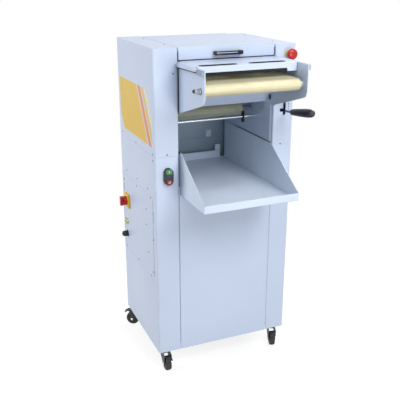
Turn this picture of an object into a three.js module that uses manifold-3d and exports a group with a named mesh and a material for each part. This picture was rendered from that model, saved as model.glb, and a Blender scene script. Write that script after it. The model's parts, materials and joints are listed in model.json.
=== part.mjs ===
import * as THREE from 'three';
import { mergeVertices } from 'three/addons/utils/BufferGeometryUtils.js';
import Module from 'manifold-3d';

const wasm = await Module();
wasm.setup();

// Bread moulder: sheet-steel cabinet on casters, felt infeed belt in front of two sheeting rollers,
// a moulding belt below them and a pull-out tray. Millimetres, +Z up, the front faces -Y.
// The cabinet is drawn from its front left bottom corner: X to the right, Y to the back.

// Cabinet
const cabinetWidth = 596;
const cabinetDepth = 466;
const cabinetHeight = 1270;
const leftColumnWidth = 98;
const rightColumnWidth = 90;
const rightColumnDrop = 5;
const seamDrop = 408;
const sheet = 2;
const bendRadius = 5;
const coverLip = 12;
const seat = 0.4;
const cutOverrun = 5;

// Service panel in the left base cover
const accessFront = 40;
const accessRearInset = 21;
const accessBottom = 322;
const accessTopDrop = 172;
const accessGroove = 1.4;
const accessGrooveDepth = 1;

// Base pan
const panThickness = 3;
const panRim = 26;

// Front and back panels
const earRise = 35;
const panelReturn = 14;
const backPanelDrop = 20;
const ventWidth = 200;
const ventHeight = 7;
const ventPitch = 18;
const ventBottom = 70;
const ventRows = 5;

// Side plates with the nose that carries the infeed belt
const plateThickness = 4;
const plateTopDrop = 50;
const platePanelSetback = 20;
const noseReach = 248;
const noseDepthAtCabinet = 193;
const noseFrontDepth = 98;
const noseCornerSetback = 10;
const noseCornerDepth = 119;
const noseHeelSetback = 38;
const noseHeelDepth = 129;
const recessDepth = 20;
const recessSetback = 7;
const recessMargin = 11;
const restLength = 50;
const restDepth = 19;
const restDrop = 1;
const restGap = 5;

// Rollers and belts
const rollerEndGap = 7;
const infeedRollerEndGap = 18;
const infeedBeltEndGap = 16;
const mouldingRollerEndGap = 55;
const mouldingBeltEndGap = 52;
const shaftClearance = 0.5;
const infeedRollerRadius = 18;
const infeedShaftRadius = 7;
const infeedShaftOverhang = 8;
const nutRadius = 11;
const nutThickness = 5.5;
const infeedFrontSetback = 36;
const infeedFrontDrop = 75;
const infeedDriveDepth = 46;
const infeedDriveDrop = 65;
const feltThickness = 3;
const beltSlack = 0.4;
const sheetingRadius = 34;
const sheetingShaftRadius = 10;
const lowerRollerDepth = 105;
const lowerRollerDrop = 100;
const upperRollerLag = 13;
const upperRollerRise = 73;
const mouldingRollerRadius = 24;
const mouldingShaftRadius = 8;
const mouldingFrontDepth = 190;
const mouldingSpan = 162;
const mouldingDrop = 235;

// Gear pair between the sheeting rollers
const gearTeeth = 18;
const gearWidth = 10;
const gearOffset = 14;
const gearAddendum = 3.2;
const gearDedendum = 6.8;
const toothWidth = 3.5;
const toothFlankDegrees = 12;

// Chain drive from the lower sheeting roller to the belts
const chainOffset = 9;
const chainWidth = 6;
const chainThickness = 7;
const sprocketWidth = 4;
const lowerSprocketRadius = 30;

// Belt drive in the left column
const driveOffset = 38;
const drivenPulleyRadius = 75;
const motorPulleyRadius = 34;
const pulleyWidth = 18;
const grooveDepth = 8;
const grooveTopWidth = 13;
const grooveBottomWidth = 11;
const vBeltWidth = 10;
const vBeltThickness = 8;

// Motor on the base pan
const motorRadius = 58;
const motorLength = 190;
const motorInset = 166;
const motorSideGap = 80;
const motorFootThickness = 6;
const motorFootWidth = 130;
const motorFootLength = 110;
const motorShaftRadius = 9;
const motorBoxHeight = 34;
const motorBoxLength = 80;
const motorBoxWidth = 74;
const motorFins = 4;
const finHeight = 5;

// Upper roller cradle and its lever
const cradleThickness = 6;
const cradleWidth = 50;
const cradleBelow = 30;
const cradleTieRadius = 6;
const cradleTieRise = 47;
const cradleTravelUp = 6.5;
const cradleTravelDown = 4.5;
const linkThickness = 6;
const linkWidth = 14;
const linkOffset = 12;
const linkEyeRadius = 16;
const linkPinRadius = 4;
const linkPinClearance = 0.9;
const linkArm = 40;
const leverColumnOffset = 50;
const leverPivotDrop = 216;
const leverRadius = 4.5;
const leverHubRadius = 13;
const leverHubWidth = 18;
const leverPinRadius = 6;
const leverNeckReach = 9;
const leverNeckDrop = 3;
const leverElbowReach = 58;
const leverElbowRise = 2;
const leverTipReach = 200;
const leverTipRise = 24;
const gripLead = 2;
const gripBeyond = 14;
const gripRound = 5;
const gripThin = 11.5;
const gripThick = 17;
const gripEndShare = 0.8;
const gripWaistShare = 0.92;
const slotWidth = 12;
const slotBelowPivot = 21;
const slotAbovePivot = 30;
const notchReach = 14;
const notchHeight = 13;
const indexHoleRadius = 2;
const indexHoleOffset = 19;
const indexHolePitch = 11;

// Guard over the infeed belt
const guardSetback = 73;
const guardRear = 6;
const guardSideGap = 2;
const guardRise = 2;
const guardLip = 21;
const guardSlotLength = 146;
const guardSlotWidth = 25;
const guardSlotInset = 13;
const guardSlotMargin = 15;
const guardSlotSpacing = 50;
const armThickness = 8;
const armHeight = 13;
const armLead = 15;
const armDrop = 4;
const armGap = 0.8;
const guardPivotReach = 13;
const guardPivotDrop = 8;
const guardPinRadius = 3;
const guardBridgeWidth = 22;
const guardBridgeInset = 11;

// Lid
const lidFlange = 45;
const lidSideFlange = 14;
const lidLeftGap = 0.8;
const lidRightGap = 5.5;
const lidRearGap = 16;
const hingeRadius = 5;
const hingePinRadius = 2.4;
const hingeKnuckle = 24;
const hingeInset = 60;
const handleLength = 117;
const handleShift = 3.5;
const handleHeight = 15;
const handleThickness = 9;
const handleReach = 25;
const handlePostWidth = 14;
const handleDrop = 25;

// Tray
const traySideGap = 2.4;
const trayDrop = 570;
const trayWallHeight = 172;
const trayRearInset = 26;
const trayTip = 236;
const trayShoulder = 5;
const trayLip = 31;
const trayRearLip = 36;
const trayHem = 8;
const tabInset = 26;
const tabWidth = 25;
const tabHeight = 64;
const runnerWidth = 12;

// Inner plates and rods
const beltPanelTopDrop = 124;
const beltPanelRise = 22;
const beltPanelFront = 20;
const beltPanelDrop = 40;
const beltPanelHem = 10;
const rodRadius = 5;
const rodDepth = 115;
const rodDrop = 255;
const clipThickness = 8;
const clipWidth = 13;
const clipRise = 23;
const clipDrop = 23;
const clipInset = 70;
const boardClearance = 11;
const boardFlange = 18;
const boardMargin = 16;

// Controls
const buttonCentre = 52;
const buttonDrop = 77;
const buttonHousingWidth = 36;
const buttonHousingHeight = 68;
const buttonHousingDepth = 15;
const buttonWidth = 25;
const buttonTall = 19.5;
const buttonSpacing = 21;
const buttonProud = 2.5;
const buttonPocket = 11;
const buttonTravel = 3;
const buttonClearance = 0.5;
const stopInset = 29;
const stopDrop = 42.5;
const stopCapRadius = 21.5;
const stopCapDepth = 15;
const stopReach = 34;
const stopCollarRadius = 15;
const stopCollarDepth = 12;
const stopStemRadius = 8;
const stopCapShares = [[0.55, 0.07], [0.85, 0.27], [1, 0.6]];
const switchInset = 81;
const switchHeight = 567;
const switchPlate = 62;
const switchPlateThickness = 9;
const switchKnobRadius = 20;
const switchKnobDepth = 13;
const switchGripWidth = 15;
const switchGripDepth = 15;
const earthInset = 64;
const earthDrop = 105;
const earthRadius = 9;
const earthStudRadius = 3.5;
const earthLength = 16;
const earthConeShare = 0.7;
const wingSpan = 24;
const wingThickness = 4;
const wingHeight = 9;
const glandInset = 56;
const glandDrop = 64;
const glandRadius = 12;
const glandNutLength = 12;
const glandDomeLength = 14;
const glandBore = 4;
const glandTipShare = 0.55;
const glandDomeShare = 0.87;

// Casters
const casterHeight = 95;
const casterInset = 38;
const casterPlate = 60;
const casterPlateThickness = 3;
const casterHoleRadius = 3.5;
const casterHoleInset = 8;
const wheelRadius = 31.5;
const wheelTread = 24;
const wheelHubRadius = 11;
const wheelRimRadius = 24;
const wheelDish = 3;
const wheelShoulder = 2.5;
const casterAxleRadius = 4;
const casterTrail = 25;
const forkGap = 28;
const forkThickness = 3;
const crownThickness = 4;
const crownLength = 34;
const crownDrop = 15;
const raceRadius = 21;
const kingpinRadius = 5;
const pedalPivotTrail = 34;
const pedalPivotDrop = 24;
const pedalBarrelRadius = 4;
const pedalPinRadius = 2;
const pedalReach = 30;
const pedalThickness = 5;
const pedalWidth = 24;
const casterTurns = {
  front_left: 0,
  front_right: -18,
  rear_left: -125,
  rear_right: 170,
};

// Facet counts
const roundSegments = 16;
const smallSegments = 12;
const bendSteps = 3;
const cornerSteps = 3;
const slotSteps = 6;
const beltSteps = 10;
const chainSteps = 4;
const wheelSegments = 16;

const finish = (color, roughness, metalness) => new THREE.MeshStandardMaterial({ color, roughness, metalness });
const paint = () => finish(0xe4e9f2, 0.45, 0.1);
const steel = () => finish(0xb9bec6, 0.3, 0.9);
const chrome = () => finish(0xd8dade, 0.15, 1);
const felt = () => finish(0xe9e0bd, 0.95, 0);
const blackPlastic = () => finish(0x151618, 0.4, 0);
const rubber = () => finish(0x17181a, 0.8, 0);
const plasticOf = (color) => finish(color, 0.4, 0);

// Places worked out from the sizes above
const halfSheet = sheet / 2;
const rightColumnStart = cabinetWidth - rightColumnWidth;
const seamHeight = cabinetHeight - seamDrop;
const accessTop = seamHeight - accessTopDrop;
const trayFloor = cabinetHeight - trayDrop;
const trayRest = trayFloor - seat;
const earTop = trayRest + earRise;
const backPanelHeight = cabinetHeight - backPanelDrop;
const plateTop = cabinetHeight - plateTopDrop;
const infeedFrontDepth = infeedFrontSetback - noseReach;
const infeedFrontHeight = plateTop - infeedFrontDrop;
const infeedDriveHeight = plateTop - infeedDriveDrop;
const lowerRollerHeight = plateTop - lowerRollerDrop;
const upperRollerDepth = lowerRollerDepth + upperRollerLag;
const upperRollerHeight = lowerRollerHeight + upperRollerRise;
const mouldingRearDepth = mouldingFrontDepth + mouldingSpan;
const mouldingHeight = plateTop - mouldingDrop;
const motorDepth = cabinetDepth - motorInset;
const leverX = rightColumnStart + leverColumnOffset;
const leverPivotDepth = upperRollerDepth + linkArm;
const leverPivotHeight = plateTop - leverPivotDrop;
const guardReach = noseReach - guardSetback;
const guardTop = plateTop + guardRise;
const armFront = -guardReach - armLead;
const recessFront = guardReach - recessSetback;
const recessRear = guardPivotReach + recessMargin;
const guardPivotHeight = plateTop - guardPivotDrop;
const trayRear = cabinetDepth - trayRearInset;
const trayWallTop = trayFloor + trayWallHeight;
const trayTipTop = trayFloor + trayLip;
const rodHeight = plateTop - rodDrop;
const buttonHeight = seamHeight - buttonDrop;
const stopCentre = cabinetWidth - stopInset;
const stopHeight = cabinetHeight - stopDrop;
const switchDepth = cabinetDepth - switchInset;
const earthDepth = cabinetDepth - earthInset;
const earthHeight = switchHeight - earthDrop;
const glandDepth = cabinetDepth - glandInset;
const glandHeight = earthHeight - glandDrop;
const leftPlateOuter = leftColumnWidth + seat;
const leftPlateInner = leftPlateOuter + plateThickness;
const rightPlateOuter = rightColumnStart - seat;
const rightPlateInner = rightPlateOuter - plateThickness;
const guardPlateLeft = leftPlateInner + guardSideGap;
const guardPlateRight = rightPlateInner - guardSideGap;

// Turns a closed geometry into a solid that can be cut and joined.
function solidOf(geometry) {
  const bare = geometry.clone();
  bare.deleteAttribute('normal');
  bare.deleteAttribute('uv');
  const merged = mergeVertices(bare);
  const mesh = new wasm.Mesh({
    numProp: 3,
    vertProperties: new Float32Array(merged.attributes.position.array),
    triVerts: new Uint32Array(merged.index.array),
  });
  return new wasm.Manifold(mesh);
}

function geometryOf(solid) {
  const mesh = solid.getMesh();
  const geometry = new THREE.BufferGeometry();
  geometry.setAttribute('position', new THREE.BufferAttribute(new Float32Array(mesh.vertProperties), 3));
  geometry.setIndex(new THREE.BufferAttribute(new Uint32Array(mesh.triVerts), 1));
  return geometry;
}

function join(first, ...others) {
  let solid = solidOf(first);
  for (const other of others) solid = solid.add(solidOf(other));
  return geometryOf(solid);
}

function cut(first, ...tools) {
  let solid = solidOf(first);
  for (const tool of tools) solid = solid.subtract(solidOf(tool));
  return geometryOf(solid);
}

// A shape drawn in X and Y and raised along Z; steps is the number of edges in each arc.
function raised(shape, from, to, steps = cornerSteps) {
  const options = { depth: to - from, bevelEnabled: false, curveSegments: steps };
  return new THREE.ExtrudeGeometry(shape, options).translate(0, 0, from);
}

// A shape drawn in Y and Z and pushed along X.
function pushedAlongX(shape, from, to, steps = cornerSteps) {
  const basis = new THREE.Matrix4().makeBasis(
    new THREE.Vector3(0, 1, 0), new THREE.Vector3(0, 0, 1), new THREE.Vector3(1, 0, 0));
  return raised(shape, from, to, steps).applyMatrix4(basis);
}

// A shape drawn in X and Z and pushed along Y.
function pushedAlongY(shape, from, to, steps = cornerSteps) {
  const basis = new THREE.Matrix4().makeBasis(
    new THREE.Vector3(1, 0, 0), new THREE.Vector3(0, 0, 1), new THREE.Vector3(0, -1, 0));
  return raised(shape, -to, -from, steps).applyMatrix4(basis);
}

function outline(points) {
  return new THREE.Shape(points.map(([u, v]) => new THREE.Vector2(u, v)));
}

function block(low, high) {
  const size = high.map((value, i) => value - low[i]);
  const geometry = new THREE.BoxGeometry(size[0], size[1], size[2]);
  return geometry.translate((low[0] + high[0]) / 2, (low[1] + high[1]) / 2, (low[2] + high[2]) / 2);
}

// Centre line of a folded sheet with its bends rounded, as points with their normals.
function foldLine(points, radius) {
  const line = [];
  const at = (i) => new THREE.Vector2(points[i][0], points[i][1]);
  const across = (direction) => new THREE.Vector2(-direction.y, direction.x);
  const last = points.length - 1;
  for (let i = 0; i <= last; i += 1) {
    if (i === 0 || i === last) {
      const ahead = i === 0 ? at(1).sub(at(0)) : at(last).sub(at(last - 1));
      line.push({ point: at(i), normal: across(ahead.normalize()) });
      continue;
    }
    const before = at(i).sub(at(i - 1)).normalize();
    const after = at(i + 1).sub(at(i)).normalize();
    const turn = Math.atan2(before.cross(after), before.dot(after));
    const side = Math.sign(turn);
    const start = at(i).addScaledVector(before, -radius * Math.tan(Math.abs(turn) / 2));
    const centre = start.clone().addScaledVector(across(before), side * radius);
    for (let k = 0; k <= bendSteps; k += 1) {
      const spoke = start.clone().sub(centre).rotateAround(new THREE.Vector2(), turn * k / bendSteps);
      line.push({ point: centre.clone().add(spoke), normal: spoke.normalize().multiplyScalar(-side) });
    }
  }
  return line;
}

function foldedSheet(points, radius = bendRadius) {
  const line = foldLine(points, radius);
  const offset = (by) => line.map(({ point, normal }) => point.clone().addScaledVector(normal, by));
  return new THREE.Shape([...offset(halfSheet), ...offset(-halfSheet).reverse()]);
}

function slotShape(centreU, centreV, length, width) {
  const shape = new THREE.Shape();
  const reach = (length - width) / 2;
  shape.absarc(centreU + reach, centreV, width / 2, -Math.PI / 2, Math.PI / 2, false);
  shape.absarc(centreU - reach, centreV, width / 2, Math.PI / 2, Math.PI * 3 / 2, false);
  return shape;
}

function uprightSlotShape(centreU, low, high, width) {
  const shape = new THREE.Shape();
  shape.absarc(centreU, high - width / 2, width / 2, 0, Math.PI, false);
  shape.absarc(centreU, low + width / 2, width / 2, Math.PI, Math.PI * 2, false);
  return shape;
}

function roundedRect(low, high, radius) {
  const shape = new THREE.Shape();
  shape.absarc(high[0] - radius, low[1] + radius, radius, -Math.PI / 2, 0, false);
  shape.absarc(high[0] - radius, high[1] - radius, radius, 0, Math.PI / 2, false);
  shape.absarc(low[0] + radius, high[1] - radius, radius, Math.PI / 2, Math.PI, false);
  shape.absarc(low[0] + radius, low[1] + radius, radius, Math.PI, Math.PI * 3 / 2, false);
  return shape;
}

// Outline of a belt round pulleys listed counterclockwise: outer tangents, and arcs between them.
function beltOutline(pulleys, growth) {
  const tangents = pulleys.map((pulley, i) => {
    const next = pulleys[(i + 1) % pulleys.length];
    const [run, rise] = [next.u - pulley.u, next.v - pulley.v];
    return Math.atan2(rise, run) - Math.acos((pulley.r - next.r) / Math.hypot(run, rise));
  });
  const shape = new THREE.Shape();
  pulleys.forEach(({ u, v, r }, i) => {
    const arrival = tangents[(i + pulleys.length - 1) % pulleys.length];
    const turn = THREE.MathUtils.euclideanModulo(tangents[i] - arrival, Math.PI * 2);
    shape.absarc(u, v, r + growth, arrival, arrival + turn, false);
  });
  return shape;
}

function beltLoop(pulleys, slack, thickness, steps) {
  const shape = beltOutline(pulleys, slack + thickness);
  const hole = beltOutline(pulleys, slack);
  shape.holes.push(new THREE.Path(hole.getPoints(steps)));
  return shape;
}

// A round piece turned about X: the profile lists radius and place along X.
function turnedAlongX(profile, segments = roundSegments) {
  const points = profile.map(([radius, along]) => new THREE.Vector2(radius, along));
  return new THREE.LatheGeometry(points, segments).rotateZ(-Math.PI / 2);
}

// A round piece turned about Y, for what is fastened to the front.
function turnedAlongY(profile, segments = roundSegments) {
  const points = profile.map(([radius, along]) => new THREE.Vector2(radius, along));
  return new THREE.LatheGeometry(points, segments);
}

function turnedAlongZ(profile, segments = roundSegments) {
  return turnedAlongY(profile, segments).rotateX(Math.PI / 2);
}

function drillX(radius, y, z, from, to, segments = roundSegments) {
  return turnedAlongX([[0, from], [radius, from], [radius, to], [0, to]], segments).translate(0, y, z);
}

// A drill through the front sheet of a column.
function drillY(radius, x, z, segments = roundSegments) {
  return turnedAlongY([[0, -cutOverrun], [radius, -cutOverrun], [radius, coverLip], [0, coverLip]], segments)
    .translate(x, 0, z);
}

const machine = new THREE.Group();
const cabinet = new THREE.Group();
cabinet.position.z = casterHeight;
machine.add(cabinet);

function addPiece(name, geometry, material, parent = cabinet) {
  const mesh = new THREE.Mesh(geometry, material);
  mesh.name = name;
  parent.add(mesh);
  return mesh;
}

// Covers of the two columns

// Plan of a column cover: lip, front, side, rear and lip.
function columnPlan(openX, closedX) {
  const inward = Math.sign(openX - closedX);
  const lipX = openX - inward * halfSheet;
  const wallX = closedX + inward * halfSheet;
  return [
    [lipX, coverLip],
    [lipX, halfSheet],
    [wallX, halfSheet],
    [wallX, cabinetDepth - halfSheet],
    [lipX, cabinetDepth - halfSheet],
    [lipX, cabinetDepth - coverLip],
  ];
}

// The same plan filled in, for the roof: the outer face of the fold all round.
function columnFootprint(openX, closedX) {
  const outward = Math.sign(openX - closedX) * halfSheet;
  const line = foldLine(columnPlan(openX, closedX), bendRadius);
  return new THREE.Shape(line.map(({ point, normal }) => point.clone().addScaledVector(normal, outward)));
}

function baseCover(openX, closedX) {
  const walls = raised(foldedSheet(columnPlan(openX, closedX)), 0, seamHeight);
  const inward = Math.sign(openX - closedX);
  const [low, high] = [openX - inward * (bendRadius + sheet), openX + inward * cutOverrun].sort((a, b) => a - b);
  const inside = sheet + seat / 2;
  const feet = [[inside, coverLip + cutOverrun], [cabinetDepth - coverLip - cutOverrun, cabinetDepth - inside]];
  return cut(walls, ...feet.map(([from, to]) => block([low, from, -cutOverrun], [high, to, panRim + seat])));
}

// The left base cover has a service panel, whose joint shows as a fine groove.
function leftBaseCover() {
  const front = accessFront;
  const rear = cabinetDepth - accessRearInset;
  const ring = roundedRect([front, accessBottom], [rear, accessTop], bendRadius);
  ring.holes.push(new THREE.Path(roundedRect([front + accessGroove, accessBottom + accessGroove],
    [rear - accessGroove, accessTop - accessGroove], bendRadius - accessGroove).getPoints(cornerSteps)));
  return cut(baseCover(leftColumnWidth, 0), pushedAlongX(ring, -cutOverrun, accessGrooveDepth));
}

function headCover(openX, closedX, top) {
  const walls = raised(foldedSheet(columnPlan(openX, closedX)), seamHeight + seat, top - halfSheet);
  const roof = raised(columnFootprint(openX, closedX), top - sheet, top);
  return join(walls, roof);
}

function rightHeadCover() {
  const cover = headCover(rightColumnStart, cabinetWidth, cabinetHeight - rightColumnDrop);
  const slot = pushedAlongY(uprightSlotShape(leverX, leverPivotHeight - slotBelowPivot,
    leverPivotHeight + slotAbovePivot, slotWidth), -cutOverrun, coverLip, slotSteps);
  const notch = block([leverX - slotWidth / 2 - notchReach, -cutOverrun, leverPivotHeight - notchHeight / 2],
    [leverX, coverLip, leverPivotHeight + notchHeight / 2]);
  const stopHole = drillY(stopStemRadius + seat * 2, stopCentre, stopHeight);
  const indexHoles = [0, 1, 2].map((i) => drillY(indexHoleRadius, leverX + indexHoleOffset,
    leverPivotHeight + leverRadius + i * indexHolePitch, smallSegments / 2));
  return cut(cover, slot, notch, stopHole, ...indexHoles);
}

function basePan() {
  const edge = sheet + seat;
  const low = [edge, edge, 0];
  const high = [cabinetWidth - edge, cabinetDepth - edge, panRim];
  const body = raised(roundedRect(low, high, bendRadius), 0, panRim);
  const hollow = roundedRect([low[0] + sheet, low[1] + sheet], [high[0] - sheet, high[1] - sheet], bendRadius - sheet);
  return cut(body, raised(hollow, panThickness, panRim + cutOverrun));
}

function frontPanel() {
  const low = leftColumnWidth + seat;
  const high = rightColumnStart - seat;
  const plan = foldedSheet([
    [low + halfSheet, panelReturn],
    [low + halfSheet, halfSheet],
    [high - halfSheet, halfSheet],
    [high - halfSheet, panelReturn],
  ], halfSheet + seat);
  const walls = raised(plan, 0, earTop);
  const notch = block(
    [leftPlateInner + seat, -cutOverrun, trayRest],
    [rightPlateInner - seat, panelReturn + cutOverrun, earTop + cutOverrun]);
  const shelf = block(
    [low + sheet, halfSheet, trayRest - sheet],
    [high - sheet, panelReturn, trayRest]);
  const panFront = sheet + seat;
  const foot = block([low, panFront - seat, -cutOverrun], [high, panelReturn + cutOverrun, panRim + seat]);
  return cut(join(cut(walls, notch), shelf), foot);
}

function backPanel() {
  const low = leftColumnWidth + seat;
  const high = rightColumnStart - seat;
  const plan = foldedSheet([
    [low + halfSheet, cabinetDepth - panelReturn],
    [low + halfSheet, cabinetDepth - halfSheet],
    [high - halfSheet, cabinetDepth - halfSheet],
    [high - halfSheet, cabinetDepth - panelReturn],
  ], halfSheet + seat);
  const walls = raised(plan, 0, backPanelHeight);
  const foot = block([low, cabinetDepth - panelReturn - cutOverrun, -cutOverrun],
    [high, cabinetDepth - sheet, panRim + seat]);
  const vents = [];
  const middle = (low + high) / 2;
  for (let row = 0; row < ventRows; row += 1) {
    const shape = slotShape(middle, ventBottom + row * ventPitch, ventWidth, ventHeight);
    vents.push(pushedAlongY(shape, cabinetDepth - panelReturn, cabinetDepth + cutOverrun, 2));
  }
  const body = cut(walls, foot, ...vents);
  return join(body, ...hingeParts('fixed'));
}

// Hinge of the lid: barrels on the lid, and knuckles with a pin on the back panel.
function hingeAxis() {
  return { y: cabinetDepth - hingeRadius - sheet - seat, z: cabinetHeight - hingeRadius - sheet - seat };
}

function hingeParts(half) {
  const { y, z } = hingeAxis();
  const parts = [];
  for (const [start, inward] of [[leftPlateInner + hingeInset, 1], [rightPlateInner - hingeInset, -1]]) {
    const fixedEnd = start + inward * hingeKnuckle;
    const pinEnd = fixedEnd + inward * (hingeKnuckle + seat);
    const [fixedLow, fixedHigh] = [start, fixedEnd].sort((a, b) => a - b);
    const [movingLow, movingHigh] = [fixedEnd + inward * seat, pinEnd].sort((a, b) => a - b);
    if (half === 'fixed') {
      parts.push(drillX(hingeRadius, y, z, fixedLow, fixedHigh, smallSegments));
      parts.push(drillX(hingePinRadius, y, z, Math.min(fixedLow, movingLow), Math.max(fixedHigh, movingHigh),
        smallSegments));
      parts.push(block([fixedLow, y, backPanelHeight - hingeRadius], [fixedHigh, cabinetDepth, z]));
    } else {
      const bore = hingePinRadius + shaftClearance;
      parts.push(turnedAlongX([[bore, movingLow], [hingeRadius, movingLow], [hingeRadius, movingHigh],
        [bore, movingHigh], [bore, movingLow]], smallSegments).translate(0, y, z));
    }
  }
  return parts;
}

// Side plates: one outline from the base pan up to the nose.
function sidePlate(outer, inner, drills) {
  const rear = cabinetDepth - panelReturn - seat * 2;
  const shape = outline([
    [platePanelSetback, panThickness + seat],
    [rear, panThickness + seat],
    [rear, plateTop],
    [-recessRear, plateTop],
    [-recessRear, plateTop - recessDepth],
    [-recessFront, plateTop - recessDepth],
    [-recessFront, plateTop],
    [-noseReach, plateTop],
    [-noseReach, plateTop - noseFrontDepth],
    [noseCornerSetback - noseReach, plateTop - noseCornerDepth],
    [noseHeelSetback - noseReach, plateTop - noseHeelDepth],
    [0, plateTop - noseDepthAtCabinet],
    [platePanelSetback, plateTop - noseDepthAtCabinet],
  ]);
  const low = Math.min(outer, inner);
  const high = Math.max(outer, inner);
  const plate = pushedAlongX(shape, low, high);
  const from = low - cutOverrun;
  const to = high + cutOverrun;
  const roundBores = [
    [infeedShaftRadius, infeedFrontDepth, infeedFrontHeight],
    [infeedShaftRadius, infeedDriveDepth, infeedDriveHeight],
    [sheetingShaftRadius, lowerRollerDepth, lowerRollerHeight],
    [mouldingShaftRadius, mouldingFrontDepth, mouldingHeight],
    [mouldingShaftRadius, mouldingRearDepth, mouldingHeight],
  ].map(([radius, y, z]) => drillX(radius + shaftClearance, y, z, from, to));
  const slotRadius = sheetingShaftRadius + shaftClearance * 2;
  const slot = pushedAlongX(uprightSlotShape(upperRollerDepth,
    upperRollerHeight - cradleTravelDown - slotRadius, upperRollerHeight + cradleTravelUp + slotRadius,
    slotRadius * 2), from, to, slotSteps);
  return join(cut(plate, ...roundBores, slot, ...drills), trayRunner(outer, inner, rear), guardRest(outer, inner));
}

// Ledge on the inner face of a side plate, on which the tray slides.
function trayRunner(outer, inner, rear) {
  const inward = Math.sign(inner - outer);
  const [low, high] = [inner - inward * halfSheet, inner + inward * runnerWidth].sort((a, b) => a - b);
  return block([low, platePanelSetback, trayRest - sheet], [high, rear, trayRest]);
}

// Stop block on the outer face of a nose, in front of the guard's arm.
function guardRest(outer, inner) {
  const outward = Math.sign(outer - inner);
  const [low, high] = [outer - outward * halfSheet, outer + outward * armThickness].sort((a, b) => a - b);
  const front = armFront - restGap - restLength;
  const top = plateTop - restDrop;
  return pushedAlongX(roundedRect([front, top - restDepth], [front + restLength, top], sheet), low, high);
}

function leftSidePlate() {
  const motorHole = drillX(motorShaftRadius * 2, motorDepth, motorAxisHeight(),
    leftPlateOuter - cutOverrun, leftPlateInner + cutOverrun);
  const plate = sidePlate(leftPlateOuter, leftPlateInner, [motorHole]);
  return join(plate, guardPin(leftPlateOuter, -1));
}

function rightSidePlate() {
  const plate = sidePlate(rightPlateOuter, rightPlateInner, []);
  const pivot = drillX(leverPinRadius, leverPivotDepth, leverPivotHeight,
    rightPlateOuter - halfSheet, leverX + leverHubWidth / 2 + sheet, smallSegments);
  return join(plate, pivot, guardPin(rightPlateOuter, 1));
}

function guardPin(outer, outward) {
  const end = outer + outward * (armGap + armThickness + sheet);
  const start = outer - outward * halfSheet;
  return drillX(guardPinRadius, -guardPivotReach, guardPivotHeight,
    Math.min(start, end), Math.max(start, end), smallSegments);
}

function motorAxisHeight() {
  return panThickness + seat + motorFootThickness + motorRadius + finHeight;
}

// Inner plates between the side plates

function underBeltPanel() {
  const low = leftPlateInner + seat;
  const high = rightPlateInner - seat;
  const top = plateTop - beltPanelTopDrop;
  const bend = top - beltPanelRise;
  const foot = bend - beltPanelDrop;
  const shape = foldedSheet([
    [beltPanelFront, top],
    [beltPanelFront, bend],
    [beltPanelFront + beltPanelDrop, foot],
    [beltPanelFront + beltPanelDrop + beltPanelHem, foot],
  ], halfSheet + seat);
  return pushedAlongX(shape, low, high);
}

function tieRod() {
  const rod = drillX(rodRadius, rodDepth, rodHeight, leftPlateInner + seat, rightPlateInner - seat);
  const clipX = rightPlateInner - clipInset;
  const clip = pushedAlongX(roundedRect(
    [rodDepth - clipWidth / 2, rodHeight - clipDrop],
    [rodDepth + clipWidth / 2, rodHeight + clipRise], clipWidth / 4), clipX - clipThickness, clipX);
  return join(rod, clip);
}

function pressureBoard() {
  const bottom = mouldingHeight + mouldingRollerRadius + beltSlack + feltThickness + boardClearance;
  const front = mouldingFrontDepth + boardMargin;
  const rear = mouldingRearDepth - boardMargin;
  const shape = foldedSheet([
    [front, bottom + boardFlange],
    [front, bottom + halfSheet],
    [rear, bottom + halfSheet],
    [rear, bottom + boardFlange],
  ], halfSheet + seat);
  return pushedAlongX(shape, leftPlateInner + seat, rightPlateInner - seat);
}

// Rollers, turned about X between the side plates

function rollerProfile(bodyRadius, shaftRadius, leftEnd, rightEnd, endGap) {
  const low = leftPlateInner + endGap;
  const high = rightPlateInner - endGap;
  return [
    [0, leftEnd],
    [shaftRadius, leftEnd],
    [shaftRadius, low],
    [bodyRadius, low],
    [bodyRadius, high],
    [shaftRadius, high],
    [shaftRadius, rightEnd],
    [0, rightEnd],
  ];
}

const rightShaftEnd = rightPlateOuter + infeedShaftOverhang;
const driveShaftEnd = leftPlateOuter - driveOffset - pulleyWidth / 2;
const gearFar = leftPlateOuter - gearOffset - gearWidth;
const beltGrowth = beltSlack + feltThickness;
const infeedSprocketRadius = lowerSprocketRadius * (infeedRollerRadius + beltGrowth) / sheetingRadius;
const mouldingSprocketRadius = lowerSprocketRadius * (mouldingRollerRadius + beltGrowth) / sheetingRadius;

function infeedFrontRoller() {
  const profile = rollerProfile(infeedRollerRadius, infeedShaftRadius,
    leftPlateOuter - infeedShaftOverhang, rightShaftEnd, infeedRollerEndGap);
  const nuts = [[leftPlateOuter, -1], [rightPlateOuter, 1]].map(([outer, outward]) => {
    const near = outer + outward * shaftClearance;
    const [low, high] = [near, near + outward * nutThickness].sort((a, b) => a - b);
    return drillX(nutRadius, 0, 0, low, high, 6);
  });
  return join(turnedAlongX(profile), ...nuts);
}

// A driven roller has a sprocket on its shaft, outside the left side plate.
function drivenRoller(bodyRadius, shaftRadius, sprocketRadius, endGap, leftEnd = gearFar) {
  const middle = leftPlateOuter - chainOffset;
  const [low, high] = [middle - sprocketWidth / 2, middle + sprocketWidth / 2];
  const [centre, end, ...body] = rollerProfile(bodyRadius, shaftRadius, leftEnd, rightShaftEnd, endGap);
  return turnedAlongX([centre, end, [shaftRadius, low], [sprocketRadius, low], [sprocketRadius, high],
    [shaftRadius, high], ...body]);
}

function upperRoller() {
  const rightEnd = rightPlateOuter + linkOffset + linkThickness + sheet;
  const profile = rollerProfile(sheetingRadius, sheetingShaftRadius, gearFar, rightEnd,
    rollerEndGap + cradleThickness);
  return turnedAlongX(profile);
}

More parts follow.
